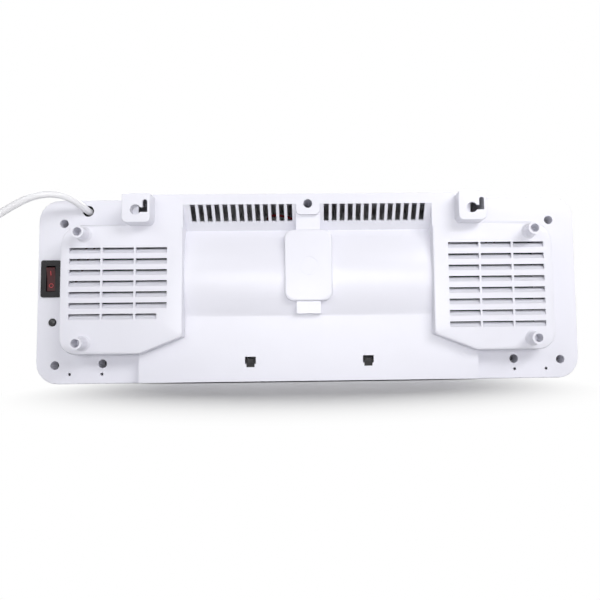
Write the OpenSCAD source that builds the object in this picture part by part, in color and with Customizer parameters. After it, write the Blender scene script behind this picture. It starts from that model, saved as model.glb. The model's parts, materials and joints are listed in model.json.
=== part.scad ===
// Wall-mounted fan heater: rear cover with louvred intakes, front casing with a swing flap,
// twin cross-flow fan on a centre motor, ceramic heating elements, controls and mains lead.
// The wall is the plane y = 0 and the heater stands in front of it, towards -y.

/* [Casing] */
// Width of the casing
body_w = 540; // [520:5:600]
// Height of the casing
body_h = 184; // [180:1:200]
// Distance from the wall to the crown of the front
body_d = 118; // [116:1:130]
// Corner radius of the casing
corner_r = 21; // [14:1:28]
// Wall thickness of the mouldings
wall = 2.4; // [2:0.1:3]
// Distance from the wall to the back plate
plate_d = 41; // [38:1:44]
// Distance from the wall to the seam between cover and casing
seam_d = 52; // [50:1:56]
// Rounding of the casing towards the front, measured inwards
front_round_w = 30; // [20:1:40]
// Rounding of the casing towards the front, measured in depth
front_round_d = 20; // [14:1:26]

/* [Rear cover] */
// Distance from the wall to the grille blocks, which is the air gap at the back
block_d = 17; // [14:0.5:20]
// Distance from the wall to the low flat face
low_d = 29; // [27:0.5:32]
// Distance from the wall to the crest of the fan scroll
crest_d = 23; // [22:0.5:25]
// Half width of the recess over the fan
recess_x = 121; // [119:0.5:124]
// Distance from the casing's end to a grille block
block_inset = 31.5; // [30:0.5:36]
// Top edge of the grille blocks, from the middle of the casing
block_top = 62; // [58:1:64]
// Bottom edge of the grille blocks, below the middle of the casing
block_bottom = 63; // [60:1:66]
// Rounding of the raised edges
edge_r = 2.5; // [1.5:0.5:3]
// Height of the band along the top
band_h = 11; // [9:0.5:13]
// Number of vent slots on each side
vent_n = 13; // [9:1:13]
// Pitch of the vent slots
vent_pitch = 7.85; // [7:0.05:7.85]
// Width of a vent slot
vent_w = 4.9; // [3.6:0.1:5.2]

/* [Louvred grilles] */
// Pitch of the louvres on the switch side
louvre_pitch = 10.65; // [10:0.05:11]
// Pitch of the louvres on the other side
louvre_pitch_right = 11.05; // [10:0.05:11.05]
// Height of a louvre opening
louvre_h = 5.6; // [4.6:0.1:6]
// Gap left open at the top of a louvre
louvre_gap = 1.3; // [1:0.1:2.4]
// Depth that a blade reaches inwards
louvre_reach = 5; // [4:0.5:6]
// Louvres in the grille on the switch side
louvres_left = 7; // [5:1:7]
// Louvres in the grille on the other side
louvres_right = 8; // [6:1:8]

/* [Wall fixing] */
// Distance of the hooks below the top of the casing
hook_drop = 12; // [11:0.5:14]
// Distance of the two ears from the middle
ear_x = 159.2; // [156:0.2:160]
// Width of an ear
ear_w = 26.8; // [24:0.2:28]
// Radius of a keyhole's entry
key_entry_r = 5; // [4.5:0.1:5.5]
// Width of a keyhole's slot
key_slot_w = 4.6; // [3.8:0.1:4.8]
// Outer radius of a standoff
standoff_r = 6; // [5:0.5:7]
// Bore radius of a standoff
standoff_bore_r = 4; // [3:0.25:4.5]

/* [Fan] */
// Radius of the cross-flow wheels
wheel_r = 29; // [26:0.5:29.5]
// Length of a wheel
wheel_l = 91; // [80:1:92]
// Blades on a wheel
blade_n = 24; // [16:1:28]
// Distance from the wall to the fan's axis
axis_d = 60; // [59.5:0.5:61]
// Height of the fan's axis above the middle of the casing
axis_z = 20; // [18:0.5:21]
// Radius of the motor can
motor_r = 31; // [28:0.5:31]
// Length of the motor can
motor_l = 40; // [36:1:40]
// Radius of the motor shaft
shaft_r = 3; // [2.5:0.1:3.5]

/* [Outlet] */
// Width of the outlet opening
outlet_w = 248; // [240:1:252]
// Height of the outlet opening along the slope
outlet_h = 64; // [60:1:66]
// Distance of the outlet's lower edge behind the crown of the front
outlet_back = 28; // [26:0.5:30]
// Angle of the outlet face from upright
outlet_tilt = 22; // [18:0.5:24]
// Thickness of the swing flap
flap_t = 2.4; // [2:0.1:3]
// Length of a heating element
ptc_l = 108; // [96:1:110]
// Height of a heating element
ptc_h = 44; // [38:1:44]
// Thickness of a heating element
ptc_t = 15; // [12:0.5:16]
// Pitch of the heating fins
fin_pitch = 3.6; // [3:0.2:6]

/* [Controls] */
// Width of the display window
window_w = 62; // [50:1:70]
// Height of the display window
window_h = 26; // [20:1:30]
// Distance of the middle of the controls from the casing's end
controls_inset = 78; // [74:1:84]
// Radius of a push button
button_r = 5; // [4:0.25:6]
// Pitch of the push buttons
button_pitch = 17; // [14:0.5:19]
// Travel of a push button
button_travel = 1.2; // [0.8:0.1:1.5]
// Width of the switch bezel
bezel_w = 19.5; // [18:0.5:21]
// Height of the switch bezel
bezel_h = 37; // [34:0.5:38]

/* [Fasteners] */
// Radius of a screw recess
recess_r = 4.3; // [4:0.1:5]
// Radius of a screw head
head_r = 3.7; // [3.2:0.1:3.9]
// Radius of a screw shank
shank_r = 1.8; // [1.5:0.1:2.2]

/* [Lead] */
// Diameter of the mains lead
lead_dia = 7; // [6:0.2:8]
// Turns of the coil
coil_turns = 4.75; // [2.75:1:4.75]
// Distance between the middles of neighbouring turns
turn_pitch = 7.6; // [7.5:0.1:8.5]

/* [Hidden] */
half_w = body_w / 2;
half_h = body_h / 2;
// Clearance between pieces that are assembled without a fit
gap = 0.3;
block_x = half_w - block_inset;
band_top = half_h - 1;
band_z = half_h - band_h;
hook_rise = half_h - hook_drop;
ear_bottom = hook_rise - 19.5;
ear_top = half_h - 3.5;
// Both ears stand a little to the switch side of their symmetric places
ear_off = 2.3;
crown_n = 7;
on = 0.01;
corner_steps = 6;
scroll_steps = 14;
// Slanted lower corner of the blocks beside the recess
block_slant_x = 41;
block_slant_z = 16;
scroll_crest_z = 16;
// Half width of the low flat face
low_x = 165.5;
// Raised pad over the motor
pad_w = 46;
pad_high = 36;
pad_low = 33.5;
pad_d = 18.5;
tab_w = 23.6;
tab_low = axis_z - pad_low - 12.3;
// First vent slot, from the middle
vent_first = 17.95;
// Keyholes, from the middle of their ear and of the casing
key_entry_x = 0.4;
key_slot_x = -8.6;
key_z = hook_rise - 7.5;
// Where the posts of the rear cover end
post_d = 62;
// Motor seat
ring_r = 34;
ring_x = 14;
ring_w = 5;
motor_posts = [[0, axis_z + ring_r + 10], [0, axis_z - ring_r - 10]];
// Cable entry and its clamp
cable_hole_r = 5.6;
clamp_x = half_w - 49;
clamp_d = 47;
cable_z = half_h - 11.5;
// Room sensor and switch in the end of the back plate
sensor_x = half_w - 15.5;
sensor_z = -31;
sensor_r = 3.8;
switch_x = half_w - 13.7;
switch_z = 12.4;
// Clip windows in the low face
clip_x = [-57.5, 57.5];
// Wheels, their ends and the walls of the duct
wheel_start = motor_l / 2 + 4.5;
bearing_r = 11;
duct_x = wheel_start + wheel_l + 5;
duct_t = 1.8;
inner_wall_x = motor_l / 2 + 1.3;
// Main board
board_d = 66;
board_mid = [-wheel_start - wheel_l - 66, 1.5];
board_size = [108, 95];
board_posts = [for (x = [-1, 1], z = [-1, 1]) [board_mid[0] + x * 51, board_mid[1] + z * 43]];
// Display board and buttons
display_d = body_d - 15;
display_size = [window_w + 18, window_h + 36];
display_z = 16;
controls_x = half_w - controls_inset;
window_z = 28;
button_z = -1;
function button_x(i) = controls_x + (i - 1.5) * button_pitch;
// Outlet slope and flap pivot, the pivot measured up the slope and inwards
outlet_low_d = body_d - outlet_back;
outlet_low_z = 6 - half_h;
pivot_s = 9;
pivot_in = 9;
pivot_r = 2.5;
cheek_x = outlet_w / 2 + 0.6;
// Motor
rotor_r = 15.9;
rotor_l = 22;
pole_n = 8;
motor_bush_r = 6;
stator_out = motor_r - 1.6;
// Heater frame, measured up the slope and inwards from it
frame_s = 15.5;
frame_in = 14;
frame_t = ptc_t + 3;
frame_x = cheek_x - 0.4;
ptc_s = frame_s + 3.5;
frame_h = ptc_h + 6.5;
ptc_mid = 4 + ptc_l / 2;
tab_in = frame_in + 1.7 + ptc_t / 2;
tab_top = ptc_s + ptc_h + 10;
tab_places = [33, 45];
cutout_in = frame_in + frame_t / 2 - 0.5;
cutout_top = frame_s + frame_h + 14;
// Outlet grille
grille_s = 16;
grille_in = 9.5;
grille_pitch = 8;
// Flap
flap_x = outlet_w / 2 - 0.7;
flap_low = 1.7;
flap_shaft_r = pivot_r - 0.05;
swing_motor_r = 12;
swing_off = 6.5;
swing_ear = 16.5;
swing_turn = 25;
// Display board
display_posts = [for (x = [-1, 1], z = [-1, 1])
    [controls_x + x * (display_size[0] / 2 - 4), display_z + z * (display_size[1] / 2 - 4)]];
// Switch
rocker_rest = -7;
rocker_d = plate_d + 3;
// Terminal blocks of the main board
heater_block = [34, -8];
mains_block = [-12, 41];
$fn = 48;

// The middle of the casing stands below the line of the hooks, where the origin is
module place() { translate([0, 0, -hook_rise]) children(); }

// Extrudes an outline in x and z between two distances from the wall
module slab(from_d, to_d) {
    translate([0, -from_d, 0]) rotate([90, 0, 0]) linear_extrude(to_d - from_d) children();
}

// Extrudes a profile of distance from the wall and height along x
module run_x(from_x, to_x) {
    translate([from_x, 0, 0]) rotate([90, 0, 90]) linear_extrude(to_x - from_x)
        mirror([1, 0]) children();
}

module rod_y(r, from_d, to_d, x, z) {
    translate([x, -from_d, z]) rotate([90, 0, 0]) cylinder(r = r, h = to_d - from_d);
}

module rod_x(r, from_x, to_x, d, z) {
    translate([from_x, -d, z]) rotate([0, 90, 0]) cylinder(r = r, h = to_x - from_x);
}

// Outline rounded with true arcs, centred
module round_rect(w, h, r) {
    square([w - 2 * r, h], center = true);
    square([w, h - 2 * r], center = true);
    for (x = [-1, 1], z = [-1, 1]) translate([x * (w / 2 - r), z * (h / 2 - r)]) circle(r);
}

// Slope of the outlet face: x along it, y up it and z out of it
module on_slope() {
    translate([0, -outlet_low_d, outlet_low_z]) rotate([90 + outlet_tilt, 0, 0]) children();
}
function slope_d(s, d) = outlet_low_d + s * sin(outlet_tilt) - d * cos(outlet_tilt);
function slope_z(s, d) = outlet_low_z + s * cos(outlet_tilt) + d * sin(outlet_tilt);

// Moves a path sideways by t, to the left of its direction, with mitred corners
function unit2(v) = v / norm(v);
function left_of(v) = [-v[1], v[0]];
function shifted(path, t) = [
    for (i = [0:len(path) - 1])
        let (
            a = unit2(path[max(i, 1)] - path[max(i, 1) - 1]),
            b = unit2(path[min(i + 1, len(path) - 1)] - path[min(i + 1, len(path) - 1) - 1]),
            m = unit2(left_of(a) + left_of(b))
        )
        path[i] + m * t / (m * left_of(a))
];

// Corner of an outline rounded with radius r, with the outline turning left
function round_corner(p, q, s, r) =
    let (
        a = unit2(p - q), b = unit2(s - q),
        half = acos(a * b) / 2,
        centre = q + unit2(a + b) * r / sin(half),
        first = q + a * r / tan(half), last = q + b * r / tan(half),
        from = atan2(first[1] - centre[1], first[0] - centre[0]),
        turn = 180 - 2 * half
    )
    r < 0.05 ? [q] : [for (k = [0:corner_steps]) centre + r * [cos(from + turn * k / corner_steps),
                                                              sin(from + turn * k / corner_steps)]];
function rounded(pts, radii) = [
    for (i = [0:len(pts) - 1])
        each round_corner(pts[(i + len(pts) - 1) % len(pts)], pts[i], pts[(i + 1) % len(pts)], radii[i])
];

// Outline moved inwards by t, with the outline turning left
function inset(pts, t) = [
    for (i = [0:len(pts) - 1])
        let (
            p = pts[(i + len(pts) - 1) % len(pts)], q = pts[i], s = pts[(i + 1) % len(pts)],
            a = unit2(q - p), b = unit2(s - q), m = unit2(left_of(a) + left_of(b))
        )
        q + m * t / (m * left_of(a))
];

// Grille block, seen with x to the right and z up, turning left
block_corners = [
    [recess_x, -block_bottom + block_slant_z], [recess_x + block_slant_x, -block_bottom],
    [block_x, -block_bottom], [block_x, block_top], [recess_x, block_top]
];
block_radii = [2, 2, 16, 20, 0];
function block_outline(t) =
    rounded(inset(block_corners, t), [for (r = block_radii) max(r - t, 0)]);

// Floor of the recess from the band at the top, down the vents and over the scroll to the bottom
scroll_top_z = 57;
scroll_low_z = -28;
scroll_up_r = 85;
scroll_low_r = ((scroll_crest_z - scroll_low_z) ^ 2 + (low_d - crest_d) ^ 2) / (2 * (low_d - crest_d));
function scroll_at(z) = let (r = z > scroll_crest_z ? scroll_up_r : scroll_low_r, h = z - scroll_crest_z)
    [crest_d + r - sqrt(r ^ 2 - h ^ 2), z];
valley = scroll_at(scroll_top_z) + [0.8, 1];
recess_path = concat(
    [[block_d, band_top], [block_d, band_z], valley],
    [for (k = [0:scroll_steps]) scroll_at(scroll_top_z + (scroll_low_z - scroll_top_z) * k / scroll_steps)],
    [[low_d, scroll_low_z - 1.5], [low_d, -band_top]]
);

module soft_slab(corners, radii, from_d, to_d, r) {
    hull() {
        slab(from_d + r, to_d) polygon(rounded(corners, radii));
        slab(from_d + 0.3 * r, from_d + r) polygon(rounded(inset(corners, 0.3 * r), radii));
        slab(from_d, from_d + r) polygon(rounded(inset(corners, r), radii));
    }
}

function box_corners(x0, x1, z0, z1) = [[x0, z0], [x1, z0], [x1, z1], [x0, z1]];
plate_corners = box_corners(-half_w, half_w, -half_h, half_h);
plate_radii = [corner_r, corner_r, corner_r, corner_r];
low_corners = box_corners(-low_x, low_x, -band_top, -block_bottom + block_slant_z + 4);
pad_corners = box_corners(-pad_w / 2, pad_w / 2, axis_z - pad_low, axis_z + pad_high);
function ear_mid(side) = side * ear_x + ear_off;
function ear_corners(side) =
    box_corners(ear_mid(side) - ear_w / 2, ear_mid(side) + ear_w / 2, ear_bottom, ear_top);
// Column of the block that carries an ear, from the recess to the ear's outer edge
function column(side, t, low) = side > 0 ?
    box_corners(recess_x + t, ear_mid(side) + ear_w / 2 - t, block_top - low, band_top - t) :
    box_corners(ear_mid(side) - ear_w / 2 + t, -recess_x - t, block_top - low, band_top - t);

module both_sides() { for (side = [0, 1]) mirror([side, 0, 0]) children(); }

// Everything that the rear cover would fill if it were solid
module cover_form() {
    soft_slab(plate_corners, plate_radii, plate_d, seam_d, 1.5);
    both_sides() soft_slab(block_corners, block_radii, block_d, plate_d + 2, edge_r);
    for (side = [-1, 1]) slab(block_d, plate_d + 2) polygon(column(side, 0, 4));
    slab(low_d, plate_d + 2) polygon(low_corners);
    run_x(-recess_x, recess_x)
        polygon(concat([[seam_d, band_top]], recess_path, [[seam_d, -band_top]]));
    for (side = [-1, 1]) soft_slab(ear_corners(side), [5, 5, 1.5, 1.5], 0, block_d + 2, 1);
    soft_slab(pad_corners, [8, 8, 8, 8], pad_d, plate_d, 1.5);
    slab(pad_d + 3, plate_d) polygon(box_corners(-tab_w / 2, tab_w / 2, tab_low, band_z - 8));
    slab(block_d, plate_d)
        polygon(rounded(box_corners(-11.3, 11.3, band_z - 10.3, band_z + 2), [4, 4, 0, 0]));
}

// The hollow behind it
module cover_hollow() {
    deep = seam_d + 6;
    slab(plate_d + wall, deep) polygon(rounded(inset(plate_corners, wall), [for (r = plate_radii) r - wall]));
    both_sides() slab(block_d + wall, deep) polygon(block_outline(wall));
    for (side = [-1, 1]) slab(block_d + wall, deep) polygon(column(side, wall, 12));
    slab(low_d + wall, deep) polygon(inset(low_corners, wall));
    inner = shifted(recess_path, wall);
    run_x(-recess_x - wall, recess_x + wall) polygon(concat(
        [[deep, band_top - wall], [block_d + wall, band_top - wall]],
        [for (i = [1:len(inner) - 2]) inner[i]],
        [[low_d + wall, wall - band_top], [deep, wall - band_top]]
    ));
    for (side = [-1, 1]) slab(wall, deep) polygon(inset(ear_corners(side), wall));
    slab(pad_d + wall, plate_d + 6) polygon(rounded(inset(pad_corners, wall), [6, 6, 6, 6]));
    slab(pad_d + 3 + wall, plate_d + 6)
        polygon(inset(box_corners(-tab_w / 2, tab_w / 2, tab_low, band_z - 5), wall));
}

// One louvre: the opening is cut from the face and the blade slopes up and inwards behind it
module louvre_cut(x0, x1, top) {
    run_x(x0, x1) polygon([
        [block_d - 1, top - louvre_h - 0.4], [block_d - 1, top], [block_d + louvre_reach + 2, top],
        [block_d + louvre_reach + 2, top - louvre_gap], [block_d + louvre_reach, top - louvre_gap],
        [block_d, top - louvre_h]
    ]);
}
module louvre_blade(x0, x1, top) {
    run_x(x0, x1) polygon([
        [block_d + on, top - louvre_h], [block_d + louvre_reach, top - louvre_gap],
        [block_d + louvre_reach, top - louvre_gap - 1.6], [block_d + wall, top - louvre_h - 1.6],
        [block_d + on, top - louvre_h - 1.6]
    ]);
}
function louvre_top(side, row) = side > 0 ? 39.6 - row * louvre_pitch : 42 - row * louvre_pitch_right;
function louvre_rows(side) = side > 0 ? louvres_left : louvres_right;
// Inner and outer ends of the three columns of a grille
grille_from = recess_x + 15.1;
column_w = (block_x - 9 - grille_from - 3.8) / 3;
grille_columns = [for (i = [0:2]) [0, column_w] + [1, 1] * (grille_from + i * (column_w + 1.9))];
module grille_side(side) { mirror([side > 0 ? 0 : 1, 0, 0]) children(); }

screw_places = [
    for (side = [1, -1]) each [[side * (half_w - 25.3), half_h - 24, plate_d],
        [side * (half_w - 18.7), 18.5 - half_h, plate_d], [side * (half_w - 65.6), 19.6 - half_h, plate_d]],
    [0, band_z + 0.2, block_d]
];
standoff_places = [for (x = [-1, 1], z = [10.8 - block_bottom, block_top - 9.8]) [x * (block_x - 22.8), z]];
foot_holes = [for (x = [-half_w + 33.2, -half_w + 65, half_w - 65, half_w - 33.2]) [x, 9.5 - half_h]];

module standoffs() {
    for (p = standoff_places) difference() {
        union() {
            rod_y(standoff_r, 0, block_d + wall, p[0], p[1]);
            translate([p[0], -block_d, p[1]]) rotate([-90, 0, 0])
                rotate_extrude() polygon([[0, -1], [standoff_r + 1.5, -1], [standoff_r + 1.5, 0],
                                          [standoff_r, 2], [0, 2]]);
        }
        rod_y(standoff_bore_r, -1, block_d - 2, p[0], p[1]);
    }
}

module cover_posts() {
    for (p = screw_places) rod_y(recess_r + 1.8, p[2] + 1, post_d, p[0], p[1]);
    for (p = motor_posts) rod_y(4, p[1] > 0 ? pad_d + 4 : low_d + 0.5, axis_d, p[0], p[1]);
    for (p = board_posts) rod_y(3.5, block_d + 1, board_d, p[0], p[1]);
    for (x = [-1, 1]) rod_y(3, plate_d + 1, clamp_d, clamp_x + x * 8.5, cable_z - 9);
    // Saddle ribs under the two rubber rings of the motor
    for (x = [-1, 1]) run_x(x * ring_x - 2, x * ring_x + 2) difference() {
        polygon([[pad_d + 1, axis_z - pad_low + 1], [pad_d + 1, axis_z + pad_high - 1],
                 [plate_d - 2, axis_z + pad_high - 1], [plate_d + 3, axis_z + pad_high - 8],
                 [plate_d + 3, axis_z - pad_low + 1]]);
        translate([axis_d, axis_z]) circle(ring_r + 0.2);
    }
    // Lip that centres the front casing
    difference() {
        slab(seam_d - 4, seam_d + 4) polygon(rounded(inset(plate_corners, wall + gap),
            [for (r = plate_radii) r - wall - gap]));
        slab(seam_d - 5, seam_d + 5) polygon(rounded(inset(plate_corners, wall + gap + 1.4),
            [for (r = plate_radii) r - wall - gap - 1.4]));
    }
    difference() {
        slab(seam_d - 6, seam_d - 2) polygon(rounded(inset(plate_corners, wall - 0.5),
            [for (r = plate_radii) r - wall + 0.5]));
        slab(seam_d - 7, seam_d) polygon(rounded(inset(plate_corners, wall + gap + 1.4),
            [for (r = plate_radii) r - wall - gap - 1.4]));
    }
}

module keyhole(side) {
    x = ear_mid(side) + key_entry_x;
    slot = ear_mid(side) + key_slot_x;
    rod_y(key_entry_r, -1, wall + 1, x, key_z);
    half = key_slot_w / 2;
    slab(-1, wall + 1) polygon(box_corners(slot - half, x, key_z - half, key_z + half));
    slab(-1, wall + 1) polygon(box_corners(slot - half, slot + half, key_z - half, hook_rise));
    rod_y(key_slot_w / 2, -1, wall + 1, slot, hook_rise);
}

module rear_cover() color("#e9e8f0") place() difference() {
    union() {
        difference() {
            cover_form();
            cover_hollow();
        }
        cover_posts();
        standoffs();
        for (side = [-1, 1], row = [0:louvre_rows(side) - 1])
            grille_side(side)
                louvre_blade(grille_columns[0][0] - 2, grille_columns[2][1] + 2, louvre_top(side, row));
    }
    for (side = [-1, 1], row = [0:louvre_rows(side) - 1], c = grille_columns) {
        short = side > 0 && row == louvre_rows(side) - 1 && c == grille_columns[0] ? 9.5 : 0;
        grille_side(side) louvre_cut(c[0] + short, c[1], louvre_top(side, row));
    }
    for (side = [-1, 1], i = [0:vent_n - 1]) {
        x = side * (vent_first + i * vent_pitch);
        edge = [block_d, band_z];
        down = unit2(valley - edge);
        run_x(x - vent_w / 2, x + vent_w / 2) polygon([
            edge + 0.3 * down + 1.5 * left_of(-down), edge + 19 * down + 1.5 * left_of(-down),
            edge + 19 * down + 3.6 * left_of(down), edge + 0.3 * down + 3.6 * left_of(down)
        ]);
    }
    for (side = [-1, 1]) keyhole(side);
    for (p = screw_places) {
        rod_y(recess_r, p[2] - 1, post_d - 3, p[0], p[1]);
        rod_y(shank_r + 0.3, p[2] - 1, post_d + 1, p[0], p[1]);
    }
    for (p = foot_holes) rod_y(1.5, plate_d - 1, plate_d + wall + 1, p[0], p[1]);
    for (p = motor_posts) rod_y(1.2, axis_d - 12, axis_d + 1, p[0], p[1]);
    for (p = board_posts) rod_y(1.2, board_d - 12, board_d + 1, p[0], p[1]);
    for (x = [-1, 1]) rod_y(1.2, plate_d + wall, clamp_d + 1, clamp_x + x * 8.5, cable_z - 9);
    rod_y(cable_hole_r, plate_d - 1, plate_d + wall + 1, clamp_x, cable_z);
    rod_y(sensor_r + gap, plate_d - 1, plate_d + wall + 1, sensor_x, sensor_z);
    slab(plate_d - 1, plate_d + wall + 1)
        polygon(box_corners(switch_x - 7.8, switch_x + 7.8, switch_z - 15.8, switch_z + 15.8));
    for (x = clip_x) slab(low_d - 1, low_d + wall + 1) {
        polygon(box_corners(x - 5.3, x + 5.3, 18 - half_h, 25 - half_h));
        polygon(box_corners(x - 4, x + 4, 14.8 - half_h, 19 - half_h));
    }
    // Round mark sunk into the motor pad
    difference() {
        rod_y(9.5, pad_d - 1, pad_d + 0.6, 0, axis_z);
        rod_y(8.2, pad_d - 2, pad_d + 1, 0, axis_z);
    }
}

// The front casing as a pillow-shaped solid, cut off by the outlet slope
module casing_form(t) {
    difference() {
        hull() {
            slab(seam_d - (t > 0 ? 3 : 0), seam_d + 1)
                round_rect(body_w - 2 * t, body_h - 2 * t, corner_r - t);
            for (i = [0:crown_n]) {
                a = 90 * i / crown_n;
                side = front_round_w * (1 - cos(a)) + t;
                d = body_d - front_round_d * (1 - sin(a)) - t;
                slab(d - 0.02, d) round_rect(body_w - 2 * side, body_h - 2 * side, corner_r - t + side / 3);
            }
        }
        on_slope() translate([-half_w - 5, -60, -t]) cube([body_w + 10, 220, 100]);
    }
}

module flap_cheeks() {
    intersection() {
        both_sides() on_slope() translate([cheek_x, -12, -26]) cube([wall, outlet_h + 17, 26]);
        casing_form(0.3);
    }
}
// Long tongue that springs into a clip window of the rear cover
module clip(x) {
    slab(seam_d + 4.5, seam_d + 9)
        polygon(box_corners(x - 4, x + 4, wall - 0.2 - half_h, wall + 4.1 - half_h));
    slab(low_d + wall + 0.8, seam_d + 6)
        polygon(box_corners(x - 4, x + 4, wall + 2.2 - half_h, wall + 4.1 - half_h));
    slab(low_d + wall + 0.8, low_d + wall + 2.6)
        polygon(box_corners(x - 4, x + 4, wall + 2.2 - half_h, 23 - half_h));
    slab(low_d + 0.6, low_d + wall + 2) polygon(box_corners(x - 2.5, x + 2.5, 19 - half_h, 22.5 - half_h));
}

module front_casing() color("#f1f0f6") place() difference() {
    union() {
        difference() {
            casing_form(0);
            casing_form(wall);
        }
        intersection() {
            union() {
                for (p = screw_places) rod_y(recess_r + 1.8, post_d + 0.2, body_d, p[0], p[1]);
                for (p = display_posts) rod_y(3, display_d + 1.6, body_d, p[0], p[1]);
            }
            casing_form(0.3);
        }
        for (x = clip_x) clip(x);
        flap_cheeks();
    }
    for (p = screw_places) rod_y(shank_r - 0.3, post_d - 1, post_d + 16, p[0], p[1]);
    on_slope() translate([-outlet_w / 2, -0.6, -wall - 1]) cube([outlet_w, outlet_h + 1.6, wall + 2]);
    pivot_rod(pivot_r, -cheek_x - wall - 1, 1 - cheek_x);
    pivot_rod(pivot_r, cheek_x - 1, cheek_x + wall + 1);
    swing_ears() rod_x(1.2, -wall - 1, 1, 0, 0);
    slab(body_d - wall - 1, body_d + 1) translate([controls_x, window_z]) round_rect(window_w, window_h, 4);
    for (i = [0:3]) rod_y(button_r + gap, body_d - wall - 1, body_d + 1, button_x(i), button_z);
    for (p = display_posts) rod_y(1.2, display_d, display_d + 9, p[0], p[1]);
}

module screw(r_head, r_shank, l) {
    rotate([90, 0, 0]) rotate_extrude() polygon([
        [0, 0.5], [r_head * 0.7, 0.5], [r_head, 1.3], [r_head, 2.6], [r_shank, 2.6],
        [r_shank, 2.6 + l - 1.5], [0.3, 2.6 + l], [0, 2.6 + l]
    ]);
}

module casing_screws() color("#4a4b50") place()
    for (p = screw_places) translate([p[0], 3 + 2.6 + 0.1 - post_d, p[1]]) screw(head_r, shank_r - 0.35, 15);

// The duct, as paths of distance from the wall and height: the guide carries the scroll on to
// the heater frame, and the tongue parts intake from outlet
guide_r = 24;
guide_from = [low_d + wall + 0.9, scroll_low_z - 1];
guide_turn = 90 - outlet_tilt;
guide_end_at = [guide_from[0] + guide_r * (1 - cos(guide_turn)), guide_from[1] - guide_r * sin(guide_turn)];
function up_slope(p) =
    (p[0] - outlet_low_d) * sin(outlet_tilt) + (p[1] - outlet_low_z) * cos(outlet_tilt);
frame_back = frame_in + frame_t + gap;
guide_path = concat(
    [for (k = [0:8]) let (a = guide_turn * k / 8) guide_from + guide_r * [1 - cos(a), -sin(a)]],
    [[slope_d(up_slope(guide_end_at), frame_back), slope_z(up_slope(guide_end_at), frame_back)]]
);
tongue_path = concat(
    [[slope_d(frame_s + frame_h - 3, frame_back), slope_z(frame_s + frame_h - 3, frame_back)]],
    [for (k = [0:3]) let (a = -26 + 5.4 * k, r = wheel_r + 4.5 + 0.6 * k * k)
        [axis_d + r * cos(a), axis_z + r * sin(a)]]
);
duct_wall = concat(
    [for (i = [3:17]) shifted(recess_path, wall + 0.6)[i]], guide_path,
    [tongue_path[0], tongue_path[4], [axis_d + wheel_r + 9, axis_z + 16], [axis_d + 24, axis_z + 38],
     [axis_d, scroll_top_z + 4]]
);
module sheet(path, t) { polygon(concat(path, [for (i = [len(path) - 1:-1:0]) shifted(path, t)[i]])); }

module air_duct() color("#c9cacf") place() difference() {
    union() {
        run_x(-duct_x, duct_x) sheet(guide_path, duct_t);
        both_sides() run_x(inner_wall_x, duct_x) sheet(tongue_path, duct_t);
        both_sides() run_x(inner_wall_x, inner_wall_x + duct_t) polygon(duct_wall);
        both_sides() run_x(duct_x - duct_t, duct_x) polygon(duct_wall);
        both_sides() rod_x(bearing_r + 2, duct_x - duct_t, duct_x + 1.5, axis_d, axis_z);
    }
    both_sides() rod_x(bearing_r, duct_x - 3, duct_x + 3, axis_d, axis_z);
    both_sides() rod_x(motor_bush_r + 3, inner_wall_x - 1, inner_wall_x + 3, axis_d, axis_z);
}

module end_bearings() color("#2b2b2e") place() both_sides() difference() {
    union() {
        rod_x(bearing_r - 0.1, duct_x - 2.6, duct_x + 2.2, axis_d, axis_z);
        rod_x(bearing_r - 3, duct_x + 2, duct_x + 4, axis_d, axis_z);
    }
    rod_x(shaft_r + 0.05, duct_x - 4, duct_x + 5, axis_d, axis_z);
}

// Cross-flow wheel: blades that lean forward at the rim and stand radial inside, between discs,
// with a hub at each end
blade_path = [for (k = [0:5]) let (t = k / 5, r = wheel_r - 0.4 - 6.4 * t, a = 12 * (1 - t) ^ 2)
    r * [cos(a), sin(a)]];
module wheel(side) {
    last = wheel_start + wheel_l;
    mirror([side > 0 ? 0 : 1, 0, 0]) difference() {
        union() {
            translate([wheel_start + 1, -axis_d, axis_z]) for (i = [0:blade_n - 1])
                rotate([i * 360 / blade_n, 0, 0]) rotate([90, 0, 90])
                    linear_extrude(wheel_l - 2) sheet(blade_path, 1);
            for (x = [wheel_start, last - 2]) rod_x(wheel_r, x, x + 2, axis_d, axis_z);
            difference() {
                rod_x(wheel_r, wheel_start + wheel_l / 2 - 1, wheel_start + wheel_l / 2 + 1, axis_d, axis_z);
                rod_x(wheel_r - 8.5, wheel_start, last, axis_d, axis_z);
            }
            rod_x(shaft_r + 4, wheel_start, wheel_start + 15, axis_d, axis_z);
            rod_x(shaft_r + 4, last - 10, last, axis_d, axis_z);
        }
        rod_x(shaft_r + 0.02, wheel_start - 1, wheel_start + 14, axis_d, axis_z);
        rod_x(shaft_r + 0.02, last - 9, last + 1, axis_d, axis_z);
    }
}
module fan_wheel_left() color("#3a3b40") place() wheel(1);
module fan_wheel_right() color("#3a3b40") place() wheel(-1);
module wheel_pins() color("#b9bcc2") place() both_sides()
    rod_x(shaft_r, wheel_start + wheel_l - 8.5, duct_x + 4.5, axis_d, axis_z);
module fan_shaft() color("#b9bcc2") place()
    rod_x(shaft_r, -wheel_start - 13, wheel_start + 13, axis_d, axis_z);

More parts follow.
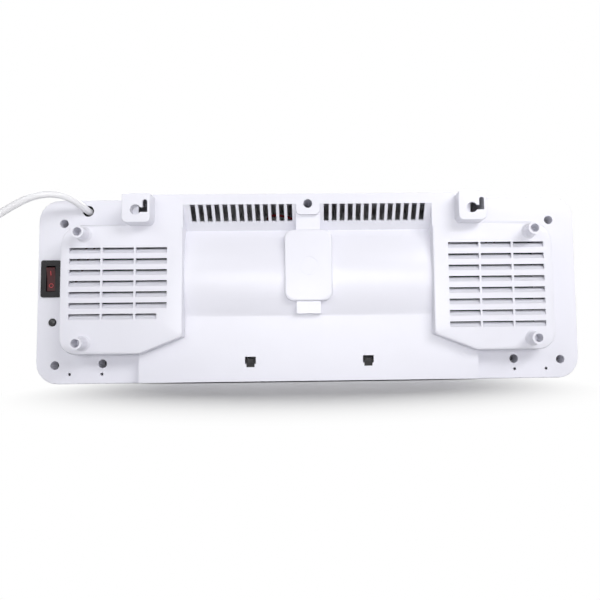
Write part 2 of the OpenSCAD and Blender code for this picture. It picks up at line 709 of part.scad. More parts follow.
// Motor on the fan's axis
module end_vents() {
    for (a = [0:60:300])
        translate([0, -axis_d, axis_z]) rotate([a, 0, 0]) rod_x(3, 0, motor_l, 0, motor_r * 0.62);
}
module motor_housing() color("#a9acb3") place() difference() {
    rod_x(motor_r, -motor_l / 2, motor_l / 2 - 1.6, axis_d, axis_z);
    rod_x(motor_r - 1.5, 1.5 - motor_l / 2, motor_l, axis_d, axis_z);
    rod_x(motor_bush_r, -motor_l, 0, axis_d, axis_z);
    mirror([1, 0, 0]) end_vents();
}
module motor_cap() color("#a9acb3") place() difference() {
    union() {
        rod_x(motor_r, motor_l / 2 - 1.5, motor_l / 2, axis_d, axis_z);
        rod_x(motor_r - 1.6, motor_l / 2 - 4, motor_l / 2 - 1, axis_d, axis_z);
    }
    rod_x(motor_r - 2.8, motor_l / 2 - 5, motor_l / 2 - 1.5, axis_d, axis_z);
    rod_x(motor_bush_r, 0, motor_l, axis_d, axis_z);
    end_vents();
}
module motor_bearings() color("#b08d4f") place() both_sides() difference() {
    rod_x(motor_bush_r - 0.02, motor_l / 2 - 5.5, motor_l / 2 + 1, axis_d, axis_z);
    rod_x(shaft_r + 0.04, 0, motor_l, axis_d, axis_z);
}
module stator_section() {
    difference() {
        circle(r = stator_out);
        circle(r = stator_out - 4);
    }
    for (i = [0:pole_n - 1]) rotate(i * 360 / pole_n) {
        translate([rotor_r + 1.4, -2.4]) square([stator_out - rotor_r - 4, 4.8]);
        intersection() {
            difference() {
                circle(r = rotor_r + 2.6);
                circle(r = rotor_r + 0.6);
            }
            translate([0, -5]) square([rotor_r + 4, 10]);
        }
    }
}
module on_axis(from_x) { translate([from_x, -axis_d, axis_z]) rotate([90, 0, 90]) children(); }
module motor_stator() color("#8d9096") place() on_axis(-rotor_l / 2) linear_extrude(rotor_l) stator_section();
module motor_coils() color("#b5652b") place() on_axis(-rotor_l / 2 - 3) for (i = [0:pole_n - 1])
    rotate(i * 360 / pole_n) difference() {
        translate([rotor_r + 2.9, -4.4, 0]) cube([stator_out - rotor_r - 7.4, 8.8, rotor_l + 6]);
        translate([rotor_r, -2.5, 2.9]) cube([stator_out, 5, rotor_l + 0.2]);
    }
module motor_rotor() color("#6e7076") place() difference() {
    rod_x(rotor_r, -rotor_l / 2, rotor_l / 2, axis_d, axis_z);
    rod_x(shaft_r + 0.02, -rotor_l, rotor_l, axis_d, axis_z);
}
module motor_rings() color("#232326") place() for (x = [-1, 1]) difference() {
    rod_x(ring_r, x * ring_x - ring_w / 2, x * ring_x + ring_w / 2, axis_d, axis_z);
    rod_x(motor_r + 0.05, x * ring_x - ring_w, x * ring_x + ring_w, axis_d, axis_z);
}
module motor_strap() color("#b9bcc2") place() difference() {
    union() {
        intersection() {
            difference() {
                rod_x(ring_r + 1.6, -ring_x - 3, ring_x + 3, axis_d, axis_z);
                rod_x(ring_r + 0.1, -ring_x - 4, ring_x + 4, axis_d, axis_z);
            }
            translate([-50, -axis_d - 50, axis_z - 50]) cube([100, 50 - gap, 100]);
        }
        for (side = [-1, 1]) slab(axis_d + gap, axis_d + gap + 1.5)
            translate([0, axis_z + side * (ring_r + 7.8)]) square([16, 15.4], center = true);
    }
    for (p = motor_posts) rod_y(1.7, axis_d - 1, axis_d + 3, p[0], p[1]);
}

// Frame of the heating elements, on the outlet slope
module frame_box(x0, x1, s0, s1, d0, d1) {
    on_slope() translate([x0, s0, -d1]) cube([x1 - x0, s1 - s0, d1 - d0]);
}
module heater_frame() color("#d8d4c4") place() difference() {
    frame_box(-frame_x, frame_x, frame_s, frame_s + frame_h, frame_in, frame_in + frame_t);
    for (side = [-1, 1]) {
        mid = side * ptc_mid;
        frame_box(mid - ptc_l / 2 - gap, mid + ptc_l / 2 + gap, ptc_s - gap, ptc_s + ptc_h + gap,
                  frame_in + 1.5, frame_in + frame_t + 1);
        frame_box(mid - ptc_l / 2 + 2, mid + ptc_l / 2 - 2, ptc_s + 2, ptc_s + ptc_h - 2,
                  frame_in - 1, frame_in + 3);
        for (x = tab_places) frame_box(side * x - 3.6, side * x + 3.6, ptc_s + ptc_h - 1,
                                       frame_s + frame_h + 1, tab_in - 0.8, tab_in + 0.8);
    }
}
// Element: two ceramic bars between three rows of fins, with its tabs
module heating_element(side) {
    mid = side * ptc_mid;
    bar = 5;
    row = (ptc_h - 2 * bar - 2) / 3;
    on_slope() {
        translate([mid - ptc_l / 2, ptc_s, -frame_in - 1.7 - ptc_t]) linear_extrude(ptc_t) {
            for (z = [0, ptc_h - 1]) translate([0, z]) square([ptc_l, 1]);
            for (k = [0, 1]) translate([0, 1 + row + k * (row + bar)]) square([ptc_l, bar]);
            for (k = [0:2], x = [1:fin_pitch:ptc_l - 1])
                translate([x, 0.5 + k * (row + bar)]) square([0.5, row + 1]);
        }
        for (x = tab_places) translate([side * x - 3.15, ptc_s + ptc_h - 0.5, -tab_in - 0.4])
            cube([6.3, 10.5, 0.8]);
    }
}
module heating_element_left() color("#b4b7bd") place() heating_element(1);
module heating_element_right() color("#b4b7bd") place() heating_element(-1);
module thermal_cutout() color("#c9b79a") place() on_slope()
    translate([0, frame_s + frame_h, -cutout_in]) rotate([-90, 0, 0]) {
        cylinder(r = 8, h = 6);
        translate([-11.5, -4, 0]) cube([23, 8, 1]);
        for (x = [-4.5, 4.5]) translate([x - 2.4, -0.4, 5.9]) cube([4.8, 0.8, 8.1]);
    }

module outlet_grille() color("#47484d") place() difference() {
    top = outlet_h + 1;
    n = floor((outlet_w - 4.4) / grille_pitch);
    pitch = (outlet_w - 4.4) / n;
    h = (top - grille_s - 7) / 2;
    frame_box(-cheek_x + gap, cheek_x - gap, grille_s, top, grille_in, grille_in + 3);
    for (i = [0:n - 1], k = [0, 1])
        frame_box(3 - outlet_w / 2 + i * pitch, 1.4 - outlet_w / 2 + (i + 1) * pitch,
                  grille_s + 2.5 + k * (h + 2), grille_s + 2.5 + k * (h + 2) + h,
                  grille_in - 1, grille_in + 4);
}

// Flap over the outlet, hung on a pin at one end and the motor's shaft at the other
module pivot_rod(r, from_x, to_x) {
    on_slope() translate([from_x, pivot_s, -pivot_in]) rotate([0, 90, 0]) cylinder(r = r, h = to_x - from_x);
}
module flap_section() {
    for (s = [flap_low + flap_t / 2, outlet_h + 0.3 - flap_t / 2])
        translate([s, -flap_t / 2]) circle(d = flap_t);
    translate([flap_low + flap_t / 2, -flap_t]) square([outlet_h + 0.3 - flap_low - flap_t, flap_t]);
}
module flap_arm() {
    polygon([[flap_low + flap_t / 2, 0], [pivot_s + 12, -0.5], [pivot_s + 5, -pivot_in],
             [pivot_s - 4.8, -pivot_in]]);
    translate([pivot_s, -pivot_in]) circle(r = 5);
}
module across_x(from_x, to_x) {
    on_slope() translate([from_x, 0, 0]) rotate([90, 0, 90]) linear_extrude(to_x - from_x) children();
}
module swing_flap() color("#f1f0f6") place() difference() {
    union() {
        across_x(-flap_x, flap_x) flap_section();
        across_x(-flap_x, 2.4 - flap_x) flap_arm();
        across_x(flap_x - 2.4, flap_x) flap_arm();
        for (i = [-2:2]) frame_box(i * flap_x / 2.6 - 0.6, i * flap_x / 2.6 + 0.6,
                                   outlet_h / 2 - 12, outlet_h / 2 + 22, flap_t - 0.2, flap_t + 3);
        pivot_rod(5, flap_x - 10, flap_x);
        pivot_rod(flap_shaft_r, -cheek_x - wall, 2 - flap_x);
    }
    pivot_rod(flap_shaft_r + 0.02, flap_x - 9, flap_x + 1);
}
module flap_shaft() color("#b9bcc2") place() pivot_rod(flap_shaft_r, flap_x - 8.5, cheek_x + wall + 8);
module swing_motor() color("#c7c9ce") place() difference() {
    on_slope() translate([cheek_x + wall + gap, pivot_s, -pivot_in - swing_off]) rotate([swing_turn, 0, 0])
        rotate([0, 90, 0]) {
            cylinder(r = swing_motor_r, h = 18);
            linear_extrude(1.2) {
                square([7, 2 * swing_ear], center = true);
                for (z = [-1, 1]) translate([0, z * swing_ear]) circle(r = 3.5);
            }
        }
    pivot_rod(flap_shaft_r + 0.05, cheek_x, cheek_x + wall + 12);
    swing_ears() rod_x(1.5, -5, 5, 0, 0);
}
// Places its children at the two ears of the swing motor
module swing_ears() {
    for (k = [-1, 1]) on_slope()
        translate([cheek_x + wall + gap, pivot_s + k * swing_ear * cos(swing_turn),
                   -pivot_in - swing_off + k * swing_ear * sin(swing_turn)]) children();
}

// Circuit boards
module main_board() color("#2f6b46") place() difference() {
    slab(board_d, board_d + 1.6) translate(board_mid) square(board_size, center = true);
    for (p = board_posts) rod_y(1.7, board_d - 1, board_d + 3, p[0], p[1]);
}
module board_box(at, w, h, tall) {
    slab(board_d + 1.6, board_d + 1.6 + tall) translate(board_mid + at) square([w, h], center = true);
}
module board_can(at, r, tall) {
    rod_y(r, board_d + 1.6, board_d + 1.6 + tall, board_mid[0] + at[0], board_mid[1] + at[1]);
}
module board_parts() color("#26272b") place() {
    for (x = [-30, -8]) board_box([x, 22], 19, 15.5, 16);
    board_box([14, 22], 12, 26, 20);
    board_box([-30, -12], 22, 22, 19);
    board_box([14, -20], 10, 16, 9);
    board_box(heater_block, 8, 40, 12);
    board_box(mains_block, 26, 9, 10);
    board_can([-6, -10], 5, 18);
    board_can([-4, -26], 4, 14);
}
module display_board() color("#2f6b46") place() difference() {
    slab(display_d, display_d + 1.6) translate([controls_x, display_z]) square(display_size, center = true);
    for (p = display_posts) rod_y(1.4, display_d - 1, display_d + 3, p[0], p[1]);
}
module display_module() color("#1c1d20") place() {
    slab(display_d + 1.6, body_d - wall - 0.4) translate([controls_x, window_z])
        square([window_w - 8, window_h - 8], center = true);
    for (i = [0:3]) slab(display_d + 1.6, display_d + 5)
        translate([button_x(i), button_z]) square([6, 6], center = true);
}
module display_window() color("#17181c") place()
    slab(body_d - wall, body_d)
        translate([controls_x, window_z]) round_rect(window_w - 0.2, window_h - 0.2, 3.9);
module button(i) {
    rod_y(button_r, body_d - 6, body_d + 0.8, button_x(i), button_z);
    rod_y(button_r + 1.3, body_d - wall - 1.6, body_d - wall - gap, button_x(i), button_z);
    rod_y(1.8, display_d + 5 + button_travel + 0.2, body_d - 5, button_x(i), button_z);
}
module power_button() color("#e4e4ea") place() button(0);
module mode_button() color("#e4e4ea") place() button(1);
module swing_button() color("#e4e4ea") place() button(2);
module timer_button() color("#e4e4ea") place() button(3);

// Mains switch with its rocker on two trunnions
module switch_body() color("#1b1b1e") place() difference() {
    union() {
        slab(plate_d - 1.8, plate_d) translate([switch_x, switch_z]) round_rect(bezel_w, bezel_h, 2);
        slab(plate_d - 1, plate_d + 22) translate([switch_x, switch_z]) square([15, 31], center = true);
        for (z = [-9, 0, 9]) slab(plate_d + 21, plate_d + 30) translate([switch_x, switch_z + z])
            square([6.3, 0.8], center = true);
    }
    slab(plate_d - 3, plate_d + 9.5) translate([switch_x, switch_z]) square([9, 25.6], center = true);
    rod_x(1.25, switch_x - 6, switch_x + 6, rocker_d, switch_z);
}
module rocker() color("#7c1f24") place()
translate([switch_x, -rocker_d, switch_z]) rotate([rocker_rest, 0, 0]) {
    intersection() {
        rotate([90, 0, 90]) translate([0, 0, -4.2]) linear_extrude(8.4) polygon([
            [4.7, 12.4], [3.8, 6], [3.4, 0], [3.8, -6], [4.7, -12.4], [-3, -10], [-4.8, -3], [-4.8, 3],
            [-3, 10]]);
        rod_x(12.5, -5, 5, 0, 0);
    }
    rod_x(1.2, -5.7, 5.7, 0, 0);
}
module room_sensor() color("#141416") place() translate([sensor_x, -plate_d, sensor_z]) rotate([-90, 0, 0])
    rotate_extrude() polygon(concat(
        [[0, -8], [2.6, -8], [2.6, -wall - 1.6], [sensor_r + 1.6, -wall - 1.6], [sensor_r + 1.6, -wall - 0.1],
         [sensor_r, -wall - 0.1]],
        [for (a = [0:15:75]) [sensor_r * cos(a), 0.2 + 1.6 * sin(a)]], [[0, 1.8]]));
module cord_clamp() color("#ededf2") place() difference() {
    slab(clamp_d, clamp_d + 9) translate([clamp_x, cable_z - 3.5]) round_rect(25, 19, 3);
    rod_y(lead_dia / 2 + 0.05, clamp_d - 1, clamp_d + 10, clamp_x, cable_z);
    for (x = [-1, 1]) rod_y(1.6, clamp_d - 1, clamp_d + 10, clamp_x + x * 8.5, cable_z - 9);
}

// Screw whose head faces the room, its seat at the origin
module inner_screw(l) {
    rotate([-90, 0, 0]) rotate_extrude() polygon([
        [0, -2.1], [2, -2.1], [2.8, -1.4], [2.8, 0], [1.1, 0], [1.1, l], [0, l]]);
}
module inner_screws() color("#8b8d93") place() {
    for (p = motor_posts) translate([p[0], -axis_d - gap - 1.6, p[1]]) inner_screw(7);
    for (p = board_posts) translate([p[0], -board_d - 1.7, p[1]]) inner_screw(7);
    for (x = [-1, 1]) translate([clamp_x + x * 8.5, -clamp_d - 9.1, cable_z - 9]) inner_screw(12);
    for (p = display_posts) translate([p[0], 0.1 - display_d, p[1]]) mirror([0, 1, 0]) inner_screw(7);
    swing_ears() translate([1.3, 0, 0]) rotate([0, 0, 90]) inner_screw(3.7);
}

// Tube swept along points, its sections turning as little as they can
function unit3(v) = v / norm(v);
function across(v, t) = unit3(v - (v * t) * t);
module tube(pts, r, sides, first) {
    n = len(pts);
    dirs = [for (i = [0:n - 1]) unit3(
        (i == 0 ? [0, 0, 0] : unit3(pts[i] - pts[i - 1]))
            + (i == n - 1 ? [0, 0, 0] : unit3(pts[i + 1] - pts[i])))];
    sideways = [for (i = 0, v = across(first, dirs[0]); i < n;
                     v = across(v, dirs[min(i + 1, n - 1)]), i = i + 1) v];
    rings = [for (i = [0:n - 1], k = [0:sides - 1]) let (a = 360 * k / sides)
        pts[i] + r * (cos(a) * sideways[i] + sin(a) * cross(dirs[i], sideways[i]))];
    faces = concat(
        [for (k = [1:sides - 2]) [0, k, k + 1]],
        [for (i = [0:n - 2], k = [0:sides - 1]) each
            let (a = i * sides + k, b = i * sides + (k + 1) % sides)
                [[a, a + sides, b], [b, a + sides, b + sides]]],
        [for (k = [1:sides - 2]) (n - 1) * sides * [1, 1, 1] + [k + 1, k, 0]]
    );
    polyhedron(rings, faces);
}
// Corners of a path cut once, with its ends kept
function eased(p) = concat([p[0]],
    [for (i = [1:len(p) - 2]) each [p[i] + (p[i - 1] - p[i]) * 0.3, p[i] + (p[i + 1] - p[i]) * 0.3]],
    [p[len(p) - 1]]);

// Points on the slope, and points given as x, distance from the wall and height
function sp(x, s, d) = [x, -slope_d(s, d), slope_z(s, d)];
function from_wall(pts) = [for (p = pts) [p[0], -p[1], p[2]]];
wire_r = 1.2;
heater_start = [board_mid[0] + heater_block[0], board_d + 7.6, board_mid[1] + heater_block[1] + 20.1];
function tab_end(x) = [sp(x, tab_top + 6, tab_in), sp(x, tab_top + 0.05, tab_in)];
function cutout_end(x) = [sp(x, cutout_top + 6, cutout_in), sp(x, cutout_top + 0.05, cutout_in)];
function backwards(p) = [for (i = [len(p) - 1:-1:0]) p[i]];
// Depth of the wires that pass between the fan and the front
front_d = (axis_d + wheel_r + 11 + body_d - wall) / 2;
wire_live_left = concat(from_wall([heater_start + [-2.6, 0, 0], [-150, 73.6, 48], [-146, 70, 63],
    [-132, 66, 70.5], [-110, 66, 71.5], [2, 66, 71.5], [12, 64, 74], [26, 62, 79], [38, 64, 80], [44, 74, 80],
    [45, 90, 78], [45, front_d - 7, 71], [45, front_d, 60], [45, front_d, 14], [45, front_d - 2, 5]]), tab_end(45));
wire_neutral = concat(from_wall([heater_start, [-147.5, 73.6, 46], [-143, 72, 60], [-130, 70, 68.5],
    [-110, 69.5, 71.5], [-6, 69.5, 71.5], [4, 70, 72.5], [12, 76, 76.5], [15, 84, 79.5], [16, 93, 79.5],
    [16, front_d - 3, 71], [16, front_d, 58], [16, front_d, 24], [9, front_d - 1, 12]]), cutout_end(4.5));
wire_live_right = concat(from_wall([heater_start + [2.6, 0, 0], [-145, 74, 44], [-141, 76, 58],
    [-130, 78, 65], [-110, 80, 66], [-70, 85, 65], [-54, 92, 62], [-46, front_d - 3, 50],
    [-45, front_d, 36], [-45, front_d, 14],
    [-45, front_d - 2, 5]]), tab_end(-45));
wire_cutout_right = concat(backwards(cutout_end(-5.75)),
    from_wall([[-9, front_d - 3, 9], [-18, front_d - 1, 10], [-29, front_d - 2, 6]]), tab_end(-33));
wire_cutout_left = concat(backwards(cutout_end(-3.25)),
    from_wall([[-2, 100, 13], [4, 98, 21], [12, 98, 24], [20, front_d - 1, 21], [28, front_d - 1, 12],
        [33, front_d - 2, 5]]), tab_end(33));
module heater_wires() color("#b3262e") place()
    for (w = [wire_live_left, wire_neutral, wire_live_right, wire_cutout_right, wire_cutout_left])
        tube(eased(w), wire_r, 8, [1, 0.2, 0.1]);

lead_end_d = 60;
mains_end = [board_mid[0] + mains_block[0], board_d + 6.6, board_mid[1] + mains_block[1] + 4.6];
wire_live_in = from_wall([[clamp_x - 1.6, lead_end_d + 0.05, cable_z], [clamp_x - 2, 67, cable_z - 0.5],
    [clamp_x + 5, 78, cable_z - 8.5], [half_w - 36, 84, cable_z - 24], [half_w - 24, 88, switch_z + 30],
    [half_w - 16, 88, switch_z + 18], [switch_x, 80, switch_z + 9],
    [switch_x, plate_d + 30.05, switch_z + 9]]);
wire_live_out = from_wall([[switch_x, plate_d + 30.05, switch_z - 9], [switch_x, 80, switch_z - 9],
    [half_w - 18, 90, switch_z], [half_w - 30, 93, switch_z + 28], [half_w - 44, 93, half_h - 28],
    [half_w - 62, 92, half_h - 19], [half_w - 90, 91.5, half_h - 18.5], [-110, 91.5, half_h - 18.5],
    [-160, 88, half_h - 22], [-190, 80, half_h - 30], [-198, 73, 54], mains_end + [-4.5, 0, 0]]);
wire_neutral_in = from_wall([[clamp_x + 1.6, lead_end_d + 0.05, cable_z], [clamp_x + 1, 68, cable_z - 0.5],
    [clamp_x - 5, 80, cable_z - 4.5], [half_w - 70, 87, half_h - 21], [half_w - 90, 88, half_h - 22],
    [-120, 88, half_h - 22], [-160, 84, half_h - 26], [-184, 76, 58], mains_end + [4.5, 0, 7],
    mains_end + [4.5, 0, 0]]);
module mains_wires() place() {
    color("#6b4226") tube(eased(wire_live_in), wire_r, 8, [1, 0.2, 0.1]);
    color("#6b4226") tube(eased(wire_live_out), wire_r, 8, [0.1, 0.2, 1]);
    color("#2d4f9e") tube(eased(wire_neutral_in), wire_r, 8, [1, 0.2, 0.1]);
}

// The lead's own route, from inside the casing through its hole and away along the wall, in the
// frame of the hooks
lead_route = [
    [221, -60, 0.5], [221, -46, 0.5], [221.89, -39.91, 1.29], [223.88, -33.4, 3.25], [227.4, -27.11, 6.34],
    [232.83, -21.61, 9.47], [239.91, -17.06, 11.31], [248.19, -13.86, 11.53], [257.2, -12.25, 10.07],
    [266.46, -11.99, 7.38], [275.6, -12.77, 3.5], [284.66, -13.9, -0.92], [293.47, -15.04, -5.87],
    [302.07, -15.67, -10.99], [310.08, -15.7, -16.38], [316.89, -15.29, -22.29], [321.88, -14.7, -28.8],
    [324.8, -14.23, -35.61], [326, -14, -42], [326, -14, -70], [326, -14, -104], [326, -14, -135.3],
    for (a = [18:18:90]) [326, -46 + 32 * cos(a), -135.3 - 32 * sin(a)], [326, -55.4, -167.3]
];
// Coil of the spare length, on the ground beside the heater: it spirals in, climbs a layer where it
// reverses, and spirals out
coil_mid = [374, -58, -167.3];
coil_r = 48;
function coil_point(t) =
    let (
        half = coil_turns / 2,
        r = coil_r - turn_pitch * (t < half ? t : coil_turns - t),
        u = min(1, max(0, (t - half + 0.25) * 2)),
        a = 180 + 360 * t
    )
    coil_mid + [r * cos(a), r * sin(a), turn_pitch * u * u * (3 - 2 * u)];
coil_n = 24 * coil_turns;
coil_end = coil_mid + [-2.5, coil_r, turn_pitch];
coil_path = concat([lead_route[len(lead_route) - 1] + [0, -0.02, 0]],
                   [for (i = [0:coil_n]) coil_point(i / 24)], [coil_end]);
// Least distance between stretches of the tube that lie half a turn or more apart
coil_gap = min([for (i = [0:2:coil_n], j = [i + 12:coil_n]) norm(coil_path[i + 1] - coil_path[j + 1])])
    - lead_dia;
// Tail of the lead: it turns in over the coil and climbs to the middle of the plug, which lies on the turns
plug_flat = 14;
plug_z = turn_pitch + lead_dia / 2 + plug_flat + 0.2;
function eased_step(u) = u * u * (3 - 2 * u);
tail_route = concat(
    [coil_end + [-0.02, 0, 0]],
    [for (k = [0:4]) let (a = 90 + 77 * k / 4)
        coil_mid + [-4 + 40 * cos(a), 8 + 40 * sin(a), turn_pitch + 12 * eased_step(k / 4)]],
    [for (k = [1:5]) let (a = 167 + 103 * k / 5)
        coil_mid + [-4 + 10 * cos(167) + 30 * cos(a), 8 + 10 * sin(167) + 30 * sin(a),
                    turn_pitch + 12 + (plug_z - turn_pitch - 12) * eased_step(k / 5)]]
);
tail_end = tail_route[len(tail_route) - 1] + [6, 0, 0];
module mains_lead() color("#f2f2f5") {
    tube(lead_route, lead_dia / 2, 10, [1, 0, 0]);
    tube(concat(tail_route, [tail_end]), lead_dia / 2, 10, [0, 0, 1]);
}
module lead_coil() color("#f2f2f5") {
    echo(least_gap_of_the_coil = coil_gap);
    tube(coil_path, lead_dia / 2, 6, [0, 0, 1]);
}
// Strap round the bundle, opposite the lead
tie_in = coil_r - turn_pitch * coil_turns / 2 - lead_dia / 2 - 0.6;
tie_out = coil_r - turn_pitch / 4 + lead_dia / 2 + 0.6;
module lead_tie() color("#3b3c40")
    translate(coil_mid + [(tie_in + tie_out) / 2, 4, turn_pitch / 2]) rotate([90, 0, 0])
    linear_extrude(8) difference() {
        round_rect(tie_out - tie_in + 2.4, turn_pitch + lead_dia + 2.4, 3.2);
        round_rect(tie_out - tie_in, turn_pitch + lead_dia + 0.6, 2);
    }
// Flat-sided round plug with two pins, lying on the coil
plug_r = 18;
plug_l = 60;
pin_r = 2.4;
pin_apart = 19;
pin_sunk = 11.8;
module plug_body() color("#f2f2f5")
translate(tail_end + [0.02, 0, 0]) rotate([90, 0, 90]) difference() {
    intersection() {
        rotate_extrude() polygon([
            [0, 0], [5.6, 0], [6.6, 2], [6.6, 20], [9, 24], [plug_r - 2, 29], [plug_r, 33],
            [plug_r, plug_l - 2], [plug_r - 1.4, plug_l], [0, plug_l]]);
        translate([-plug_r - 1, -plug_flat, -1]) cube([2 * plug_r + 2, 2 * plug_flat, plug_l + 2]);
    }
    for (z = [4:3.5:18]) difference() {
        translate([0, 0, z]) cylinder(r = 8, h = 1.6);
        translate([0, 0, z - 1]) cylinder(r = 5.4, h = 4);
    }
    for (x = [-pin_apart / 2, pin_apart / 2]) translate([x, 0, plug_l - pin_sunk - 0.2])
        cylinder(r = pin_r - 0.38, h = pin_sunk + 1);
}
module plug_contacts() color("#c7c9ce")
    translate(tail_end + [0.02, 0, 0]) rotate([90, 0, 90])
    for (x = [-pin_apart / 2, pin_apart / 2]) translate([x, 0, plug_l]) rotate_extrude()
        polygon([[0, -pin_sunk], [pin_r - 0.4, -pin_sunk], [pin_r - 0.4, 0.02], [pin_r, 0.02],
                 [pin_r, 17.5], [pin_r / 2, 19], [0, 19]]);

rear_cover();
front_casing();
casing_screws();
air_duct();
heater_frame();
heating_element_left();
heating_element_right();
thermal_cutout();
outlet_grille();
swing_flap();
flap_shaft();
swing_motor();
fan_wheel_left();
fan_wheel_right();
fan_shaft();
wheel_pins();
end_bearings();
motor_rotor();
motor_housing();
motor_cap();
motor_stator();
motor_coils();
motor_bearings();
motor_rings();
motor_strap();
main_board();
board_parts();
display_board();
display_module();
display_window();
power_button();
mode_button();
swing_button();
timer_button();
switch_body();
rocker();
room_sensor();
cord_clamp();
inner_screws();
heater_wires();
mains_wires();
mains_lead();
lead_coil();
lead_tie();
plug_body();
plug_contacts();
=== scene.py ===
"""Dresses the wall-mounted fan heater, seen from behind, and sets it in a plain white studio.

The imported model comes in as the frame. The housing, fan, heater, electronics, controls and mains
lead are classes that smooth, add to and finish their own pieces, and the studio adds the camera,
the lamps and the floor. Sizes are in metres, in the frame of the two wall hooks: x along the
heater, y into the wall, z up. The casing's middle lies 80 mm below the hooks. What is nearer than
a hair counts as the same place.
"""
from __future__ import annotations

import json
import logging
import math
from dataclasses import dataclass, field
from enum import Enum
from functools import cached_property
from typing import Callable, Iterable, Mapping, Sequence

import bpy
from mathutils import Matrix, Vector

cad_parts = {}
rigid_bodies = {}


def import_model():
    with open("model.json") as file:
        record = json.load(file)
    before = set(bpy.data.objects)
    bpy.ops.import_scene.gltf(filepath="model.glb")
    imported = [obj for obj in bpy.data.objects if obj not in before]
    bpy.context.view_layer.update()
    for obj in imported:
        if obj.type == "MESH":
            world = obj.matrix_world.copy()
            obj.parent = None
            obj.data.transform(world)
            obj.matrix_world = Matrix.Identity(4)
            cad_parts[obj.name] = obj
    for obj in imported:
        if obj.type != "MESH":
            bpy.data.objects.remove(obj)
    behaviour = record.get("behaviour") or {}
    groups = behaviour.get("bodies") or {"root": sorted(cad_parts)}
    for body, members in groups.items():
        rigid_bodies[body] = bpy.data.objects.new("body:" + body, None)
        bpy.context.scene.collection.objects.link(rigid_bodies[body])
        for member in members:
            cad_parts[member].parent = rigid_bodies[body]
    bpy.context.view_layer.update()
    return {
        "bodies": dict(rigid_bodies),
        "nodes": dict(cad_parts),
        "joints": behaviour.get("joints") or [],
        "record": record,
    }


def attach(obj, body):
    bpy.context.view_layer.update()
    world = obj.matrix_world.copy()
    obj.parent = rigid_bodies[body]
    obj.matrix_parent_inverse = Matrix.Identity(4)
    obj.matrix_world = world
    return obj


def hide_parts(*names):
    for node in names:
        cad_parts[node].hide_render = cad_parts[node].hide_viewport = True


LOG = logging.getLogger("wall_heater")
MM = 0.001
MIDDLE_Z = -80.0 * MM
HAIR = 0.01 * MM
QUARTER_TURN = math.radians(90.0)

Colour = tuple[float, float, float]
Point = tuple[float, float, float]
Socket = bpy.types.NodeSocket
Feed = Socket | float | tuple[float, ...]


class Pattern(Enum):
    """How a finish varies over its surface."""

    MOULDED = "moulded"
    POLISHED = "polished"
    BRUSHED = "brushed"
    WOUND = "wound"
    BOARD = "board"
    WOVEN = "woven"
    SHEATH = "sheath"


@dataclass(frozen=True)
class Finish:
    """One finish of the heater, with the numbers its material is made from.

    Relief is the depth of the surface's texture and grain how fine it is. Drift is how much the
    tone changes over a piece, wear how far sharp edges are lightened, and shine how strongly the
    surface reflects below its coat.
    """

    name: str
    colour: Colour
    roughness: float
    pattern: Pattern = Pattern.MOULDED
    metallic: float = 0.0
    coat: float = 0.0
    relief: float = 0.05
    grain: float = 900.0
    drift: float = 0.03
    wear: float = 0.0
    shine: float = 0.5


WHITE_BACK = Finish("white_back", (0.845, 0.845, 0.905), 0.34, coat=0.18, relief=0.05, grain=1500.0,
                    drift=0.012)
WHITE_FRONT = Finish("white_front", (0.86, 0.86, 0.885), 0.22, coat=0.35, relief=0.02, grain=700.0,
                     drift=0.01)
SWITCH_BLACK = Finish("switch_black", (0.010, 0.009, 0.010), 0.42, relief=0.06, wear=0.15, shine=0.22)
ROCKER_RED = Finish("rocker_red", (0.060, 0.010, 0.012), 0.30, coat=0.10, relief=0.03, shine=0.35)
MARK_RED = Finish("mark_red", (0.55, 0.05, 0.06), 0.35, relief=0.02)
SENSOR_BLACK = Finish("sensor_black", (0.012, 0.012, 0.013), 0.28, relief=0.02)
SCREW_DARK = Finish("screw_dark", (0.085, 0.086, 0.095), 0.42, Pattern.BRUSHED, metallic=0.85, wear=0.35)
STEEL = Finish("steel", (0.56, 0.57, 0.59), 0.30, Pattern.BRUSHED, metallic=1.0, wear=0.2)
CAN_STEEL = Finish("can_steel", (0.46, 0.47, 0.49), 0.36, Pattern.BRUSHED, metallic=1.0, wear=0.2)
FINS = Finish("fins", (0.68, 0.69, 0.71), 0.34, Pattern.BRUSHED, metallic=1.0)
FAN_BLACK = Finish("fan_black", (0.030, 0.030, 0.034), 0.45, relief=0.08)
RUBBER = Finish("rubber", (0.020, 0.020, 0.022), 0.72, relief=0.14, grain=1600.0)
COPPER = Finish("copper", (0.50, 0.20, 0.075), 0.28, Pattern.WOUND, metallic=0.9)
BRONZE = Finish("bronze", (0.52, 0.37, 0.17), 0.40, Pattern.BRUSHED, metallic=1.0)
BOARD_GREEN = Finish("board_green", (0.006, 0.045, 0.020), 0.40, Pattern.BOARD, coat=0.4)
TRACK_GREEN: Colour = (0.015, 0.090, 0.036)
PARTS_BLACK = Finish("parts_black", (0.030, 0.030, 0.032), 0.45, relief=0.05)
WINDOW_DARK = Finish("window_dark", (0.008, 0.008, 0.010), 0.06, Pattern.POLISHED, coat=0.15,
                     relief=0.004, shine=0.3)
BUTTON_WHITE = Finish("button_white", (0.76, 0.76, 0.78), 0.26, coat=0.3, relief=0.02)
DUCT_DARK = Finish("duct_dark", (0.045, 0.045, 0.048), 0.55, relief=0.08, shine=0.3)
FRAME_CREAM = Finish("frame_cream", (0.62, 0.58, 0.46), 0.55, relief=0.12)
CERAMIC = Finish("ceramic", (0.58, 0.50, 0.38), 0.60, relief=0.12)
GRILLE_DARK = Finish("grille_dark", (0.045, 0.046, 0.050), 0.42, relief=0.08)
# Painted shade: the cord clamp is black so that the cord hole reads dark around the lead.
NYLON_SHADE_BLACK = Finish("nylon_shade_black", (0.016, 0.016, 0.018), 0.45, relief=0.05, shine=0.25)
WIRE_RED = Finish("wire_red", (0.28, 0.014, 0.020), 0.38, Pattern.SHEATH, relief=0.02)
